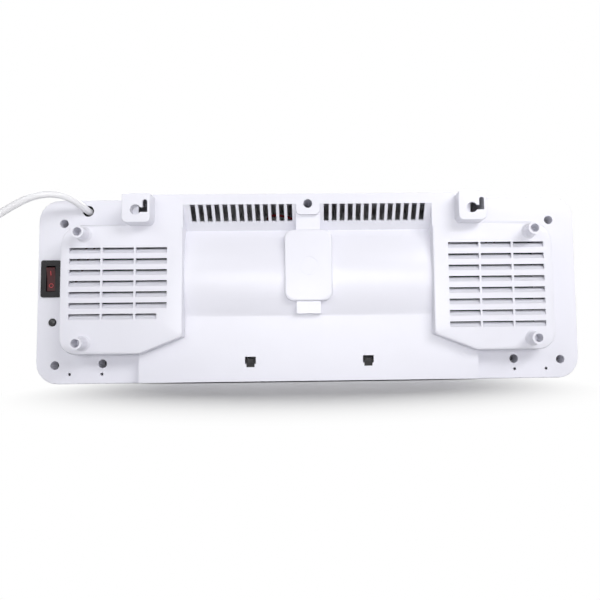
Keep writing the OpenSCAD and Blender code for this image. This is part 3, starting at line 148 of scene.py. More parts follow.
WIRE_BROWN = Finish("wire_brown", (0.12, 0.045, 0.022), 0.38, Pattern.SHEATH, relief=0.02)
LEAD_WHITE = Finish("lead_white", (0.93, 0.93, 0.94), 0.38, Pattern.SHEATH, coat=0.15, relief=0.03)
STRAP_DARK = Finish("strap_dark", (0.030, 0.030, 0.034), 0.85, Pattern.WOVEN, relief=0.35, grain=1400.0)
PIN_NICKEL = Finish("pin_nickel", (0.66, 0.65, 0.63), 0.16, Pattern.BRUSHED, metallic=1.0)


class Net:
    """A tree of shader nodes, with short ways to add nodes and link them."""

    def __init__(self, tree: bpy.types.NodeTree) -> None:
        """Keeps the tree."""
        self.tree = tree

    def feed(self, node: bpy.types.Node, feeds: Mapping[str | int, Feed]) -> None:
        """Fills inputs of a node.

        Args:
            node: the node.
            feeds: a socket to link or a value to set, by the input's name or number.
        """
        for key, value in feeds.items():
            if isinstance(value, Socket):
                self.tree.links.new(value, node.inputs[key])
            else:
                node.inputs[key].default_value = value

    def add(self, kind: str, feeds: Mapping[str | int, Feed] | None = None,
            **settings: str | bpy.types.NodeTree) -> bpy.types.Node:
        """Adds a node.

        Args:
            kind: its type, without the word ShaderNode in front.
            feeds: what goes into its inputs.
            settings: its own settings.

        Returns:
            The node.
        """
        node = self.tree.nodes.new("ShaderNode" + kind)
        for name, value in settings.items():
            setattr(node, name, value)
        self.feed(node, feeds or {})
        return node

    def math(self, operation: str, *values: Feed) -> Socket:
        """Adds a maths node with its two or three values and returns its result."""
        return self.add("Math", dict(enumerate(values)), operation=operation).outputs[0]

    def noise(self, point: Feed, scale: Feed, detail: float) -> Socket:
        """Adds a noise texture.

        Args:
            point: where it is read.
            scale: how fine it is.
            detail: how many finer layers it has.

        Returns:
            Its value, about 0.5 on average.
        """
        feeds = {"Vector": point, "Scale": scale, "Detail": detail, "Roughness": 0.55}
        return self.add("TexNoise", feeds).outputs["Fac"]

    def group(self, tree: bpy.types.NodeTree, feeds: Mapping[str | int, Feed]) -> Socket:
        """Adds a shared group and returns its output."""
        return self.add("Group", feeds, node_tree=tree).outputs[0]

    def object_point(self) -> Socket:
        """Returns the place in the object's own coordinates."""
        return self.add("TexCoord").outputs["Object"]

    def mixed(self, first: Socket, second: Colour, mask: Socket) -> Socket:
        """Mixes two colours.

        Args:
            first: the colour where the mask is 0.
            second: the colour where the mask is 1.
            mask: how much of the second is taken.

        Returns:
            The mixed colour.
        """
        mix = self.add("Mix", {"Factor": mask}, data_type="RGBA")
        first_in, second_in = (socket for socket in mix.inputs if socket.type == "RGBA")
        self.tree.links.new(first, first_in)
        second_in.default_value = (*second, 1.0)
        return next(socket for socket in mix.outputs if socket.type == "RGBA")


class NodeGroups:
    """Shader node groups that several finishes share, each built when it is first asked for."""

    def relief(self, pattern: Pattern) -> bpy.types.NodeTree:
        """Picks the group that gives a pattern its relief.

        Args:
            pattern: the pattern of a finish.

        Returns:
            The group.
        """
        match pattern:
            case Pattern.BRUSHED:
                return self.brushed_lines
            case Pattern.WOUND:
                return self.winding_lines
            case Pattern.BOARD:
                return self.board_tracks
            case Pattern.WOVEN:
                return self.weave
            case _:
                return self.moulded_relief

    @staticmethod
    def _new(name: str, inputs: Mapping[str, Feed],
             output: str = "Height") -> tuple[Net, bpy.types.NodeOutputs, bpy.types.Node]:
        """Makes an empty group that takes a point and the given inputs.

        Args:
            name: the group's name.
            inputs: each further input with its default, a number or a colour.
            output: the name of its one output, a colour if it is called Colour.

        Returns:
            The group's nodes, the sockets that its inputs come in by, and its output node.
        """
        group = bpy.data.node_groups.new("heater_" + name, "ShaderNodeTree")
        group.interface.new_socket(name="Point", in_out="INPUT", socket_type="NodeSocketVector")
        for label, default in inputs.items():
            kind = "NodeSocketFloat" if isinstance(default, float) else "NodeSocketColor"
            socket = group.interface.new_socket(name=label, in_out="INPUT", socket_type=kind)
            socket.default_value = default
        kind = "NodeSocketColor" if output == "Colour" else "NodeSocketFloat"
        group.interface.new_socket(name=output, in_out="OUTPUT", socket_type=kind)
        source = group.nodes.new("NodeGroupInput")
        return Net(group), source.outputs, group.nodes.new("NodeGroupOutput")

    @cached_property
    def tone_drift(self) -> bpy.types.NodeTree:
        """Builds the slow change of tone over a moulding.

        Returns:
            The group.
        """
        grey = (0.8, 0.8, 0.8, 1.0)
        net, given, sink = self._new("tone_drift", {"Colour": grey, "Amount": 0.02, "Scale": 14.0}, "Colour")
        centred = net.math("SUBTRACT", net.noise(given["Point"], given["Scale"], 3.0), 0.5)
        level = net.math("MULTIPLY_ADD", centred, given["Amount"], 1.0)
        tint = net.add("VectorMath", {0: given["Colour"], "Scale": level}, operation="SCALE")
        net.feed(sink, {"Colour": tint.outputs["Vector"]})
        return net.tree

    @cached_property
    def satin(self) -> bpy.types.NodeTree:
        """Builds a roughness that wanders a little, as handling leaves it.

        Returns:
            The group.
        """
        net, given, sink = self._new("satin", {"Roughness": 0.4, "Swing": 0.1, "Scale": 35.0}, "Roughness")
        centred = net.math("SUBTRACT", net.noise(given["Point"], given["Scale"], 4.0), 0.5)
        net.feed(sink, {0: net.math("MULTIPLY_ADD", centred, given["Swing"], given["Roughness"])})
        return net.tree

    @cached_property
    def moulded_relief(self) -> bpy.types.NodeTree:
        """Builds the fine spark texture of an injection mould.

        Returns:
            The group.
        """
        net, given, sink = self._new("moulded_relief", {"Scale": 1200.0})
        net.feed(sink, {0: net.noise(given["Point"], given["Scale"], 2.0)})
        return net.tree

    @cached_property
    def brushed_lines(self) -> bpy.types.NodeTree:
        """Builds fine drawn lines along x.

        Returns:
            The group.
        """
        net, given, sink = self._new("brushed_lines", {"Scale": 900.0})
        drawn = net.add("VectorMath", {0: given["Point"], 1: (0.06, 1.0, 1.0)}, operation="MULTIPLY")
        net.feed(sink, {0: net.noise(drawn.outputs["Vector"], given["Scale"], 3.0)})
        return net.tree

    @cached_property
    def winding_lines(self) -> bpy.types.NodeTree:
        """Builds side by side turns of enamelled wire.

        Returns:
            The group.
        """
        net, given, sink = self._new("winding_lines", {"Scale": 400.0})
        feeds = {"Vector": given["Point"], "Scale": given["Scale"], "Distortion": 0.6}
        wave = net.add("TexWave", feeds, bands_direction="DIAGONAL")
        net.feed(sink, {0: wave.outputs["Fac"]})
        return net.tree

    @cached_property
    def board_tracks(self) -> bpy.types.NodeTree:
        """Builds the copper tracks that show through the solder mask of a circuit board.

        Returns:
            The group.
        """
        net, given, sink = self._new("board_tracks", {"Scale": 120.0}, "Mask")
        black, white = (0.0, 0.0, 0.0, 1.0), (1.0, 1.0, 1.0, 1.0)
        turned = net.add("Mapping", {"Vector": given["Point"], "Rotation": (QUARTER_TURN, 0.0, 0.0)})
        cells = net.add("TexBrick", {
            "Vector": turned.outputs["Vector"], "Scale": given["Scale"], "Mortar Size": 0.06,
            "Color1": black, "Color2": black, "Mortar": white})
        net.feed(sink, {0: cells.outputs["Fac"]})
        return net.tree

    @cached_property
    def weave(self) -> bpy.types.NodeTree:
        """Builds the over and under threads of a strap.

        Returns:
            The group.
        """
        net, given, sink = self._new("weave", {"Scale": 1400.0})
        feeds = {"Vector": given["Point"], "Scale": given["Scale"]}
        threads = [net.add("TexWave", feeds, bands_direction=axis).outputs["Fac"] for axis in ("X", "Z")]
        net.feed(sink, {0: net.math("MULTIPLY", *threads)})
        return net.tree

    @cached_property
    def worn_edges(self) -> bpy.types.NodeTree:
        """Builds a mask that is high on sharp outer edges, broken up by a noise.

        Returns:
            The group.
        """
        net, given, sink = self._new("worn_edges", {"Amount": 0.3}, "Mask")
        shape = net.add("NewGeometry")
        ramp = net.add("MapRange", {"Value": shape.outputs["Pointiness"], "From Min": 0.52, "From Max": 0.62})
        broken = net.math("MULTIPLY", ramp.outputs["Result"], net.noise(given["Point"], 260.0, 4.0))
        net.feed(sink, {0: net.math("MULTIPLY", broken, given["Amount"])})
        return net.tree


class FinishShelf:
    """Turns finishes into Blender materials and keeps each one."""

    coat_roughness = 0.18
    satin_share = 0.25
    relief_strength = 4.0
    relief_depth = 0.4 * MM
    worn_lift = 0.25
    worn_gain = 1.4

    def __init__(self) -> None:
        """Starts with an empty shelf."""
        self.groups = NodeGroups()
        self._made: dict[str, bpy.types.Material] = {}

    def material(self, finish: Finish) -> bpy.types.Material:
        """Returns the material of a finish.

        Args:
            finish: the finish that is wanted.

        Returns:
            A node material, the same one at each call.
        """
        if finish.name in self._made:
            return self._made[finish.name]
        material = bpy.data.materials.new("heater_" + finish.name)
        material.use_nodes = True
        material.diffuse_color = (*finish.colour, 1.0)
        net = Net(material.node_tree)
        point = net.object_point()
        satin = {"Point": point, "Roughness": finish.roughness, "Swing": self.satin_share * finish.roughness}
        relief = {"Point": point}
        if finish.pattern is not Pattern.BOARD:
            relief["Scale"] = finish.grain
        bump = net.add("Bump", {
            "Strength": min(1.0, self.relief_strength * finish.relief),
            "Distance": self.relief_depth * max(finish.relief, 0.01),
            "Height": net.group(self.groups.relief(finish.pattern), relief)})
        net.feed(net.tree.nodes["Principled BSDF"], {
            "Base Color": self._toned(net, finish, point), "Roughness": net.group(self.groups.satin, satin),
            "Metallic": finish.metallic, "Specular IOR Level": finish.shine, "Coat Weight": finish.coat,
            "Coat Roughness": self.coat_roughness, "Normal": bump.outputs["Normal"]})
        self._made[finish.name] = material
        return material

    def _toned(self, net: Net, finish: Finish, point: Socket) -> Socket:
        """Builds the colour of a finish, with pale worn edges or the tracks of a board where it has them.

        Args:
            net: the material's nodes.
            finish: the finish.
            point: the place on the object.

        Returns:
            The colour.
        """
        feeds = {"Point": point, "Colour": (*finish.colour, 1.0), "Amount": 2.0 * finish.drift}
        colour = net.group(self.groups.tone_drift, feeds)
        if finish.wear > 0.0:
            pale = tuple(min(1.0, self.worn_lift + self.worn_gain * level) for level in finish.colour)
            edges = net.group(self.groups.worn_edges, {"Point": point, "Amount": finish.wear})
            colour = net.mixed(colour, pale, edges)
        if finish.pattern is Pattern.BOARD:
            tracks = net.group(self.groups.board_tracks, {"Point": point})
            colour = net.mixed(colour, TRACK_GREEN, tracks)
        return colour


class Bench:
    """Helpers of the modelling work: selection, joining and finishing of pieces."""

    def __init__(self, frame: dict, shelf: FinishShelf) -> None:
        """Keeps the frame and the materials.

        Args:
            shelf: the heater's materials.
        """
        self.frame = frame
        self.shelf = shelf
        self.body_of = {node: body for body, nodes in frame["record"]["behaviour"]["bodies"].items()
                        for node in nodes}
        self.slot_of = {s["node"]: s["material_slot"] for s in frame["record"]["subparts"]}

    @staticmethod
    def only(obj: bpy.types.Object) -> None:
        """Selects one object alone and makes it the active one.

        Args:
            obj: the object.
        """
        if bpy.context.object and bpy.context.object.mode != "OBJECT":
            bpy.ops.object.mode_set(mode="OBJECT")
        bpy.ops.object.select_all(action="DESELECT")
        obj.select_set(True)
        bpy.context.view_layer.objects.active = obj

    def settle(self, obj: bpy.types.Object) -> None:
        """Puts an object's place and turn into its mesh."""
        self.only(obj)
        bpy.ops.object.transform_apply(location=True, rotation=True, scale=True)

    def smooth(self, obj: bpy.types.Object, degrees: float = 35.0) -> None:
        """Shades an object smooth, with its sharper edges kept."""
        self.only(obj)
        bpy.ops.object.shade_smooth_by_angle(angle=math.radians(degrees))

    def modify(self, obj: bpy.types.Object, kind: str, **values: float | str | bool) -> None:
        """Adds a modifier to an object and applies it.

        Args:
            obj: the object.
            kind: Blender's name of the modifier.
            values: the modifier's settings.
        """
        self.only(obj)
        modifier = obj.modifiers.new(kind.lower(), kind)
        for name, value in values.items():
            setattr(modifier, name, value)
        bpy.ops.object.modifier_apply(modifier=modifier.name)

    def rod(self, radius: float, length: float, middle: Point, sides: int) -> bpy.types.Object:
        """Models a plain rod along y.

        Args:
            radius: its radius.
            length: its length.
            middle: the place of its middle.
            sides: how many sides its round has.

        Returns:
            The rod.
        """
        bpy.ops.mesh.primitive_cylinder_add(vertices=sides, radius=radius, depth=length, location=middle,
                                            rotation=(QUARTER_TURN, 0.0, 0.0))
        rod = bpy.context.object
        self.settle(rod)
        return rod

    def join(self, objects: Sequence[bpy.types.Object], name: str) -> bpy.types.Object:
        """Joins objects into one.

        Args:
            objects: the objects, one or more.
            name: the name of the result.

        Returns:
            The joined object.
        """
        self.only(objects[0])
        for other in objects:
            other.select_set(True)
        if len(objects) > 1:
            bpy.ops.object.join()
        objects[0].name = name
        return objects[0]

    def paint(self, obj: bpy.types.Object, finish: Finish) -> None:
        """Gives an object the material of a finish and no other."""
        obj.data.materials.clear()
        obj.data.materials.append(self.shelf.material(finish))

    def finish(self, obj: bpy.types.Object, finish: Finish, node: str, replace: bool = True,
               smooth: float | None = 35.0) -> bpy.types.Object:
        """Gives a piece its material and its body, and lets it stand for a node.

        Args:
            obj: the piece, in place.
            finish: its finish.
            node: the node that it stands for or belongs with.
            replace: whether the node is hidden.
            smooth: the angle up to which its edges are shaded smooth, or None.

        Returns:
            The piece.
        """
        self.settle(obj)
        if smooth is not None:
            self.smooth(obj, smooth)
        self.paint(obj, finish)
        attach(obj, self.body_of[node])
        if replace:
            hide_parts(node)
        return obj

    def dress(self, finishes: Mapping[str, Finish]) -> None:
        """Gives nodes of the frame their materials and leaves their shapes alone."""
        for node, finish in finishes.items():
            self.paint(self.frame["nodes"][node], finish)

    def merged_copy(self, node: str, finish: Finish, name: str, degrees: float = 35.0,
                    shape: Callable[[bpy.types.Object], None] | None = None) -> bpy.types.Object:
        """Stands a merged and smoothly shaded copy in for a node whose curves show.

        Args:
            node: the node that is copied.
            finish: the copy's finish.
            name: the copy's name.
            degrees: the angle up to which its edges are shaded smooth.
            shape: what else is done to the merged mesh before it is shaded.

        Returns:
            The copy.
        """
        source = self.frame["nodes"][node]
        copy = bpy.data.objects.new(name, source.data.copy())
        bpy.context.scene.collection.objects.link(copy)
        self.only(copy)
        bpy.ops.mesh.customdata_custom_splitnormals_clear()
        bpy.ops.object.mode_set(mode="EDIT")
        bpy.ops.mesh.select_all(action="SELECT")
        bpy.ops.mesh.remove_doubles(threshold=HAIR)
        bpy.ops.mesh.select_all(action="DESELECT")
        bpy.ops.object.mode_set(mode="OBJECT")
        if shape:
            shape(copy)
        self.smooth(copy, degrees)
        self.modify(copy, "WEIGHTED_NORMAL", keep_sharp=True, weight=80)
        return self.finish(copy, finish, node, smooth=None)


@dataclass
class Housing:
    """Rear cover and front casing, with the seven screws that join them and the keyholes' cups."""

    bench: Bench
    head_r: float = 3.7 * MM
    head_h: float = 2.1 * MM
    head_edge: float = 0.55 * MM
    cross_size: Point = (4.0 * MM, 2.2 * MM, 0.95 * MM)
    shank_r: float = 1.45 * MM
    shank_l: float = 15.0 * MM
    screw_turn: float = 23.0
    seat_y: float = -58.9 * MM
    screw_places: tuple[tuple[float, float], ...] = (
        (244.7, 68.0), (-244.7, 68.0), (251.3, -73.5), (-251.3, -73.5), (204.4, -72.4), (-204.4, -72.4),
        (0.0, 81.2))
    entry_xs: tuple[float, float] = (161.9 * MM, -156.5 * MM)
    entry_z: float = -7.5 * MM
    cup_r: float = 5.1 * MM
    cup_wall: float = 0.9 * MM
    cup_edge: float = 0.15 * MM
    cup_past: float = 0.6 * MM
    cup_mouth_y: float = -2.3 * MM
    cup_floor_y: float = -9.5 * MM
    blade_end_y: float = -22.0 * MM
    blade_lift: float = 0.45 * MM
    catch_x: float = 57.5 * MM
    catch_half: float = 4.1 * MM
    catch_back_y: float = -34.1 * MM

    def build(self) -> None:
        """Smooths both shells, then adds the screws and the cups."""
        self.bench.merged_copy("rear_cover", WHITE_BACK, "cover_shell", 28.0, self.lift_blades)
        self.paint_shade_on_catches(self.bench.merged_copy("front_casing", WHITE_FRONT, "front_shell", 30.0))
        self.screws()
        cups = [self.cup(x) for x in self.entry_xs]
        self.bench.finish(self.bench.join(cups, "head_cups"), WHITE_BACK, "rear_cover", replace=False)

    def lift_blades(self, cover: bpy.types.Object) -> None:
        """Raises the inner edges of the louvre blades, which narrows the dark gaps between them.

        Args:
            cover: the rear cover's copy, the active object.
        """
        for vertex in cover.data.vertices:
            vertex.select = abs(vertex.co.y - self.blade_end_y) < HAIR
        bpy.ops.object.mode_set(mode="EDIT")
        bpy.ops.transform.translate(value=(0.0, 0.0, self.blade_lift))
        bpy.ops.mesh.select_all(action="DESELECT")
        bpy.ops.object.mode_set(mode="OBJECT")

    def paint_shade_on_catches(self, casing: bpy.types.Object) -> None:
        """Paints the two catches behind the clip windows black, but for their fronts, as painted shade inside
        the windows.

        Args:
            casing: the front casing's copy.
        """
        casing.data.materials.append(self.bench.shelf.material(SWITCH_BLACK))
        # Painted shade: the catches are part of the white casing, and black stands for the shade inside the
        # clip windows.
        for face in casing.data.polygons:
            x, y, _ = face.center
            on_catch = y > self.catch_back_y and abs(abs(x) - self.catch_x) < self.catch_half
            if on_catch and face.normal.y > -0.5:
                face.material_index = 1

    def screw(self) -> bpy.types.Object:
        """Models one screw with a rounded head and a cross recess.

        Returns:
            The screw, its seat at the origin and its head towards +y.
        """
        head = self.bench.rod(self.head_r, self.head_h, (0.0, self.head_h / 2, 0.0), sides=40)
        self.bench.modify(head, "BEVEL", width=self.head_edge, segments=3, limit_method="ANGLE")
        for turn in (0.0, QUARTER_TURN):
            bpy.ops.mesh.primitive_cube_add(size=1.0, location=(0.0, self.head_h, 0.0))
            blade = bpy.context.object
            blade.scale = self.cross_size
            blade.rotation_euler = (0.0, turn, 0.0)
            self.bench.settle(blade)
            self.bench.modify(head, "BOOLEAN", operation="DIFFERENCE", object=blade, solver="EXACT")
            bpy.data.objects.remove(blade)
        shank = self.bench.rod(self.shank_r, self.shank_l, (0.0, -self.shank_l / 2, 0.0), sides=16)
        return self.bench.join([head, shank], "screw_pattern")

    def screws(self) -> None:
        """Copies the screw to its seven places, each turned a little further than the last."""
        pattern = self.screw()
        pieces = []
        for index, (x, z) in enumerate(self.screw_places):
            mesh = pattern.data.copy()
            mesh.transform(Matrix.Rotation(math.radians(self.screw_turn * index), 4, "Y"))
            mesh.transform(Matrix.Translation((x * MM, self.seat_y, z * MM + MIDDLE_Z)))
            piece = bpy.data.objects.new(f"screw_{index}", mesh)
            bpy.context.scene.collection.objects.link(piece)
            pieces.append(piece)
        bpy.data.objects.remove(pattern)
        self.bench.finish(self.bench.join(pieces, "sunk_screws"), SCREW_DARK, "casing_screws")

    def cup(self, x: float) -> bpy.types.Object:
        """Models the half cup that catches a screw's head behind a keyhole, open towards the slot.

        Args:
            x: where the keyhole's round entry is.

        Returns:
            The cup.
        """
        mouth, floor = self.cup_mouth_y, self.cup_floor_y
        cup = self.bench.rod(self.cup_r, mouth - floor, (x, (mouth + floor) / 2, self.entry_z), sides=60)
        bpy.ops.object.mode_set(mode="EDIT")
        bpy.ops.mesh.select_all(action="SELECT")
        bpy.ops.mesh.bisect(plane_co=(x - self.cup_past, mouth, self.entry_z), plane_no=(-1.0, 0.0, 0.0),
                            clear_outer=True)
        bpy.ops.mesh.select_all(action="DESELECT")
        bpy.ops.mesh.select_mode(type="FACE")
        bpy.ops.object.mode_set(mode="OBJECT")
        for face in cup.data.polygons:
            face.select = face.center.y > mouth - HAIR
        bpy.ops.object.mode_set(mode="EDIT")
        bpy.ops.mesh.delete(type="ONLY_FACE")
        bpy.ops.object.mode_set(mode="OBJECT")
        self.bench.modify(cup, "SOLIDIFY", thickness=self.cup_wall, offset=1.0, use_even_offset=True)
        self.bench.modify(cup, "BEVEL", width=self.cup_edge, segments=2, limit_method="ANGLE")
        return cup


@dataclass
class SwitchEnd:
    """Mains switch with its marks, room sensor and the cord's clamp."""

    bench: Bench
    pivot: Point = (256.3 * MM, -44.0 * MM, 12.4 * MM + MIDDLE_Z)
    rest_tilt: float = -7.0
    face_turn: float = 8.0
    mark_z: float = 6.2 * MM
    bar_size: Point = (0.8 * MM, 0.12 * MM, 4.2 * MM)
    bar_edge: float = 0.04 * MM
    bar_y: float = 4.05 * MM
    ring_r: float = 1.9 * MM
    ring_wire: float = 0.32 * MM
    ring_y: float = 3.95 * MM

    def build(self) -> None:
        """Dresses the switch and adds the marks of its rocker."""
        self.bench.merged_copy("switch_body", SWITCH_BLACK, "switch_case", 30.0)
        self.bench.merged_copy("rocker", ROCKER_RED, "rocker_cap", 40.0)
        self.bench.merged_copy("room_sensor", SENSOR_BLACK, "sensor_bead", 50.0)
        # The clamp's black is painted shade for the cord hole.
        self.bench.merged_copy("cord_clamp", NYLON_SHADE_BLACK, "cord_saddle", 30.0)
        self.marks()

    @staticmethod
    def turned(degrees: float, place: Point) -> Matrix:
        """Returns a turn about x that is followed by a move to a place."""
        return Matrix.Translation(place) @ Matrix.Rotation(math.radians(degrees), 4, "X")

    def marks(self) -> None:
        """Sets a bar and a ring, for on and off, just proud of the rocker's two faces."""
        bpy.ops.mesh.primitive_cube_add(size=1.0)
        bar = bpy.context.object
        bar.scale = self.bar_size
        self.bench.settle(bar)
        self.bench.modify(bar, "BEVEL", width=self.bar_edge, segments=2)
        bar.data.transform(self.turned(-self.face_turn, (0.0, self.bar_y, self.mark_z)))
        bpy.ops.mesh.primitive_torus_add(major_radius=self.ring_r, minor_radius=self.ring_wire,
                                         major_segments=40, minor_segments=8,
                                         rotation=(QUARTER_TURN, 0.0, 0.0))
        ring = bpy.context.object
        self.bench.settle(ring)
        ring.data.transform(self.turned(self.face_turn, (0.0, self.ring_y, -self.mark_z)))
        marks = self.bench.join([bar, ring], "rocker_marks")
        marks.data.transform(self.turned(self.rest_tilt, self.pivot))
        self.bench.finish(marks, MARK_RED, "rocker", replace=False)


@dataclass
class FanUnit:
    """Cross-flow wheels with their motor and duct."""

    bench: Bench
    finishes: dict[str, Finish] = field(default_factory=lambda: {
        "air_duct": DUCT_DARK, "end_bearings": RUBBER, "motor_rings": RUBBER, "motor_housing": CAN_STEEL,
        "motor_cap": CAN_STEEL, "motor_stator": CAN_STEEL, "motor_rotor": CAN_STEEL, "motor_coils": COPPER,
        "motor_bearings": BRONZE, "motor_strap": STEEL, "fan_shaft": STEEL, "wheel_pins": STEEL})

    def build(self) -> None:
        """Dresses the motor and smooths the wheels."""
        self.bench.dress(self.finishes)
        self.bench.merged_copy("fan_wheel_left", FAN_BLACK, "wheel_left", 25.0)
        self.bench.merged_copy("fan_wheel_right", FAN_BLACK, "wheel_right", 25.0)


@dataclass
class HeaterUnit:
    """Ceramic elements in their frame, the outlet grille, the swing flap and its drive."""

    bench: Bench
    finishes: dict[str, Finish] = field(default_factory=lambda: {
        "heater_frame": FRAME_CREAM, "heating_element_left": FINS, "heating_element_right": FINS,
        "thermal_cutout": CERAMIC, "outlet_grille": GRILLE_DARK, "flap_shaft": STEEL, "swing_motor": STEEL})

    def build(self) -> None:
        """Dresses the heater and smooths the flap."""
        self.bench.dress(self.finishes)
        self.bench.merged_copy("swing_flap", WHITE_FRONT, "flap_blade", 30.0)


@dataclass
class Electronics:
    """Boards, display, buttons and wires."""

    bench: Bench
    finishes: dict[str, Finish] = field(default_factory=lambda: {
        "main_board": BOARD_GREEN, "display_board": BOARD_GREEN, "board_parts": PARTS_BLACK,
        "display_module": PARTS_BLACK, "display_window": WINDOW_DARK, "inner_screws": STEEL,
        "heater_wires": WIRE_RED, "mains_wires": WIRE_BROWN})

    def build(self) -> None:
        """Dresses the boards and smooths the buttons."""
        self.bench.dress(self.finishes)
        for node in ("power_button", "mode_button", "swing_button", "timer_button"):
            self.bench.merged_copy(node, BUTTON_WHITE, node + "_cap", 40.0)


@dataclass
class MainsLead:
    """The lead from its clamp to the plug, with the spare length in a coil of two layers.

    Its line is laid out in millimetres. The tail is the stretch that turns in from the coil's
    outer turn and ends in the plug, which lies across the coil.
    """

    bench: Bench
    radius: float = 3.5 * MM
    route: tuple[Point, ...] = (
        (221, -60, 0.5), (221, -46, 0.5), (221.89, -39.91, 1.29), (223.88, -33.4, 3.25),
        (227.4, -27.11, 6.34), (232.83, -21.61, 9.47), (239.91, -17.06, 11.31), (248.19, -13.86, 11.53),
        (257.2, -12.25, 10.07), (266.46, -11.99, 7.38), (275.6, -12.77, 3.5), (284.66, -13.9, -0.92),
        (293.47, -15.04, -5.87), (302.07, -15.67, -10.99), (310.08, -15.7, -16.38),
        (316.89, -15.29, -22.29), (321.88, -14.7, -28.8), (324.8, -14.23, -35.61), (326, -14, -42),
        (326, -14, -70), (326, -14, -104), (326, -14, -135.3))
    foot_r: float = 32.0
    coil_mid: Point = (374, -58, -167.3)
    coil_r: float = 48.0
    turns: float = 4.75
    layer_turns: float = 0.5
    turn_steps: int = 24
    span_steps: int = 3
    pitch: float = 7.6
    tail_offset: tuple[float, float] = (-4.0, 8.0)
    tail_rs: tuple[float, float] = (40.0, 30.0)
    tail_angles: tuple[float, float, float] = (90.0, 167.0, 270.0)
    tail_lead_in: float = 1.5
    tail_climb: float = 12.0
    plug_rise: float = 25.3
    plug_entry: float = 6.0

    @staticmethod
    def ramp(u: float) -> float:
        """Returns a rise from 0 to 1 that starts and ends level."""
        return u * u * (3 - 2 * u)

    def coil_point(self, t: float) -> Point:
        """Returns the point of the coil after t turns.

        Args:
            t: the turns, from 0 at the outside of the lower layer.

        Returns:
            The point. The line goes inwards, climbs half way and comes out again above.
        """
        half = self.turns / 2
        r = self.coil_r - self.pitch * (t if t < half else self.turns - t)
        u = min(1.0, max(0.0, 0.5 + (t - half) / self.layer_turns))
        a = math.radians(180.0 + 360.0 * t)
        x, y, z = self.coil_mid
        return (x + r * math.cos(a), y + r * math.sin(a), z + self.pitch * self.ramp(u))

    def climbing_arc(self, centre: tuple[float, float], r: float, sweep: tuple[float, float],
                     heights: tuple[float, float], steps: int) -> list[Point]:
        """Lays points on an arc that rises as it turns.

        Args:
            centre: its centre, seen from above.
            r: its radius.
            sweep: its first and last angle, in degrees.
            heights: its first and last height.
            steps: how many stretches it is cut into.

        Returns:
            The points, with both ends.
        """
        points = []
        for step in range(steps + 1):
            u = step / steps
            a = math.radians(sweep[0] + (sweep[1] - sweep[0]) * u)
            points.append((centre[0] + r * math.cos(a), centre[1] + r * math.sin(a),
                           heights[0] + (heights[1] - heights[0]) * self.ramp(u)))
        return points

    def tail(self) -> list[Point]:
        """Lays the lead from the coil's end, in two arcs of which the second is tighter, to the plug.

        Returns:
            The points of the tail.
        """
        x, y, z = self.coil_mid
        wide, tight = self.tail_rs
        start, change, end = self.tail_angles
        low, middle, high = z + self.pitch, z + self.pitch + self.tail_climb, z + self.plug_rise
        ahead = math.radians(change)
        first = (x + self.tail_offset[0], y + self.tail_offset[1])
        second = (first[0] + (wide - tight) * math.cos(ahead), first[1] + (wide - tight) * math.sin(ahead))
        turn_in = self.climbing_arc(first, wide, (start, change), (low, middle), 4)
        turn_back = self.climbing_arc(second, tight, (change, end), (middle, high), 5)
        last = turn_back[-1]
        return [(first[0] + self.tail_lead_in, y + self.coil_r, low), *turn_in, *turn_back[1:],
                (last[0] + self.plug_entry, last[1], last[2])]

    @staticmethod
    def eased(points: Sequence[Point], steps: int) -> list[Vector]:
        """Draws a smooth line through points.

        Args:
            points: the points that the line passes.
            steps: how many stretches each span is cut into.

        Returns:
            The points of the line, the first and the last as given.
        """
        knots = [Vector(p) for p in points]
        knots = [2 * knots[0] - knots[1], *knots, 2 * knots[-1] - knots[-2]]
        line = []
        for before, start, end, after in zip(knots, knots[1:], knots[2:], knots[3:]):
            span = (end - start).length
            leave = (end - before) * (span / ((start - before).length + span))
            arrive = (after - start) * (span / ((after - end).length + span))
            for step in range(steps):
                t = step / steps
                line.append(start * (2 * t ** 3 - 3 * t ** 2 + 1) + leave * (t ** 3 - 2 * t ** 2 + t)
                            + end * (3 * t ** 2 - 2 * t ** 3) + arrive * (t ** 3 - t ** 2))
        return [*line, knots[-2]]

    def points(self) -> list[Vector]:
        """Lays out the whole centreline, from the clamp to the plug.

        Returns:
            Its points, in metres.
        """
        x, y, z = self.route[-1]
        foot = [(x, y - self.foot_r * (1 - math.cos(a)), z - self.foot_r * math.sin(a))
                for a in (QUARTER_TURN * k / 5 for k in range(1, 6))]
        steps = range(int(self.turn_steps * self.turns) + 1)
        coil = [Vector(self.coil_point(step / self.turn_steps)) for step in steps]
        down = self.eased([*self.route, *foot, self.coil_point(0)], self.span_steps)
        return [p * MM for p in (*down, *coil[1:], *self.eased(self.tail(), self.span_steps))]

    def build(self) -> None:
        path = self.points()
        curve = bpy.data.curves.new("lead_line", "CURVE")
        curve.dimensions = "3D"
        curve.bevel_depth = self.radius
        curve.bevel_resolution = 5
        curve.use_fill_caps = True
        spline = curve.splines.new("POLY")
        spline.points.add(len(path) - 1)
        for target, p in zip(spline.points, path):
            target.co = (*p, 1.0)
        lead = bpy.data.objects.new("mains_cord", curve)
        bpy.context.scene.collection.objects.link(lead)
        self.bench.paint(lead, LEAD_WHITE)
        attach(lead, self.bench.body_of["mains_lead"])
        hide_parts("mains_lead", "lead_coil")
        plug = self.bench.merged_copy("plug_body", LEAD_WHITE, "plug_moulding", 40.0)
        self.bench.dress({"plug_contacts": PIN_NICKEL})
        tie = self.bench.merged_copy("lead_tie", STRAP_DARK, "lead_strap", 40.0)


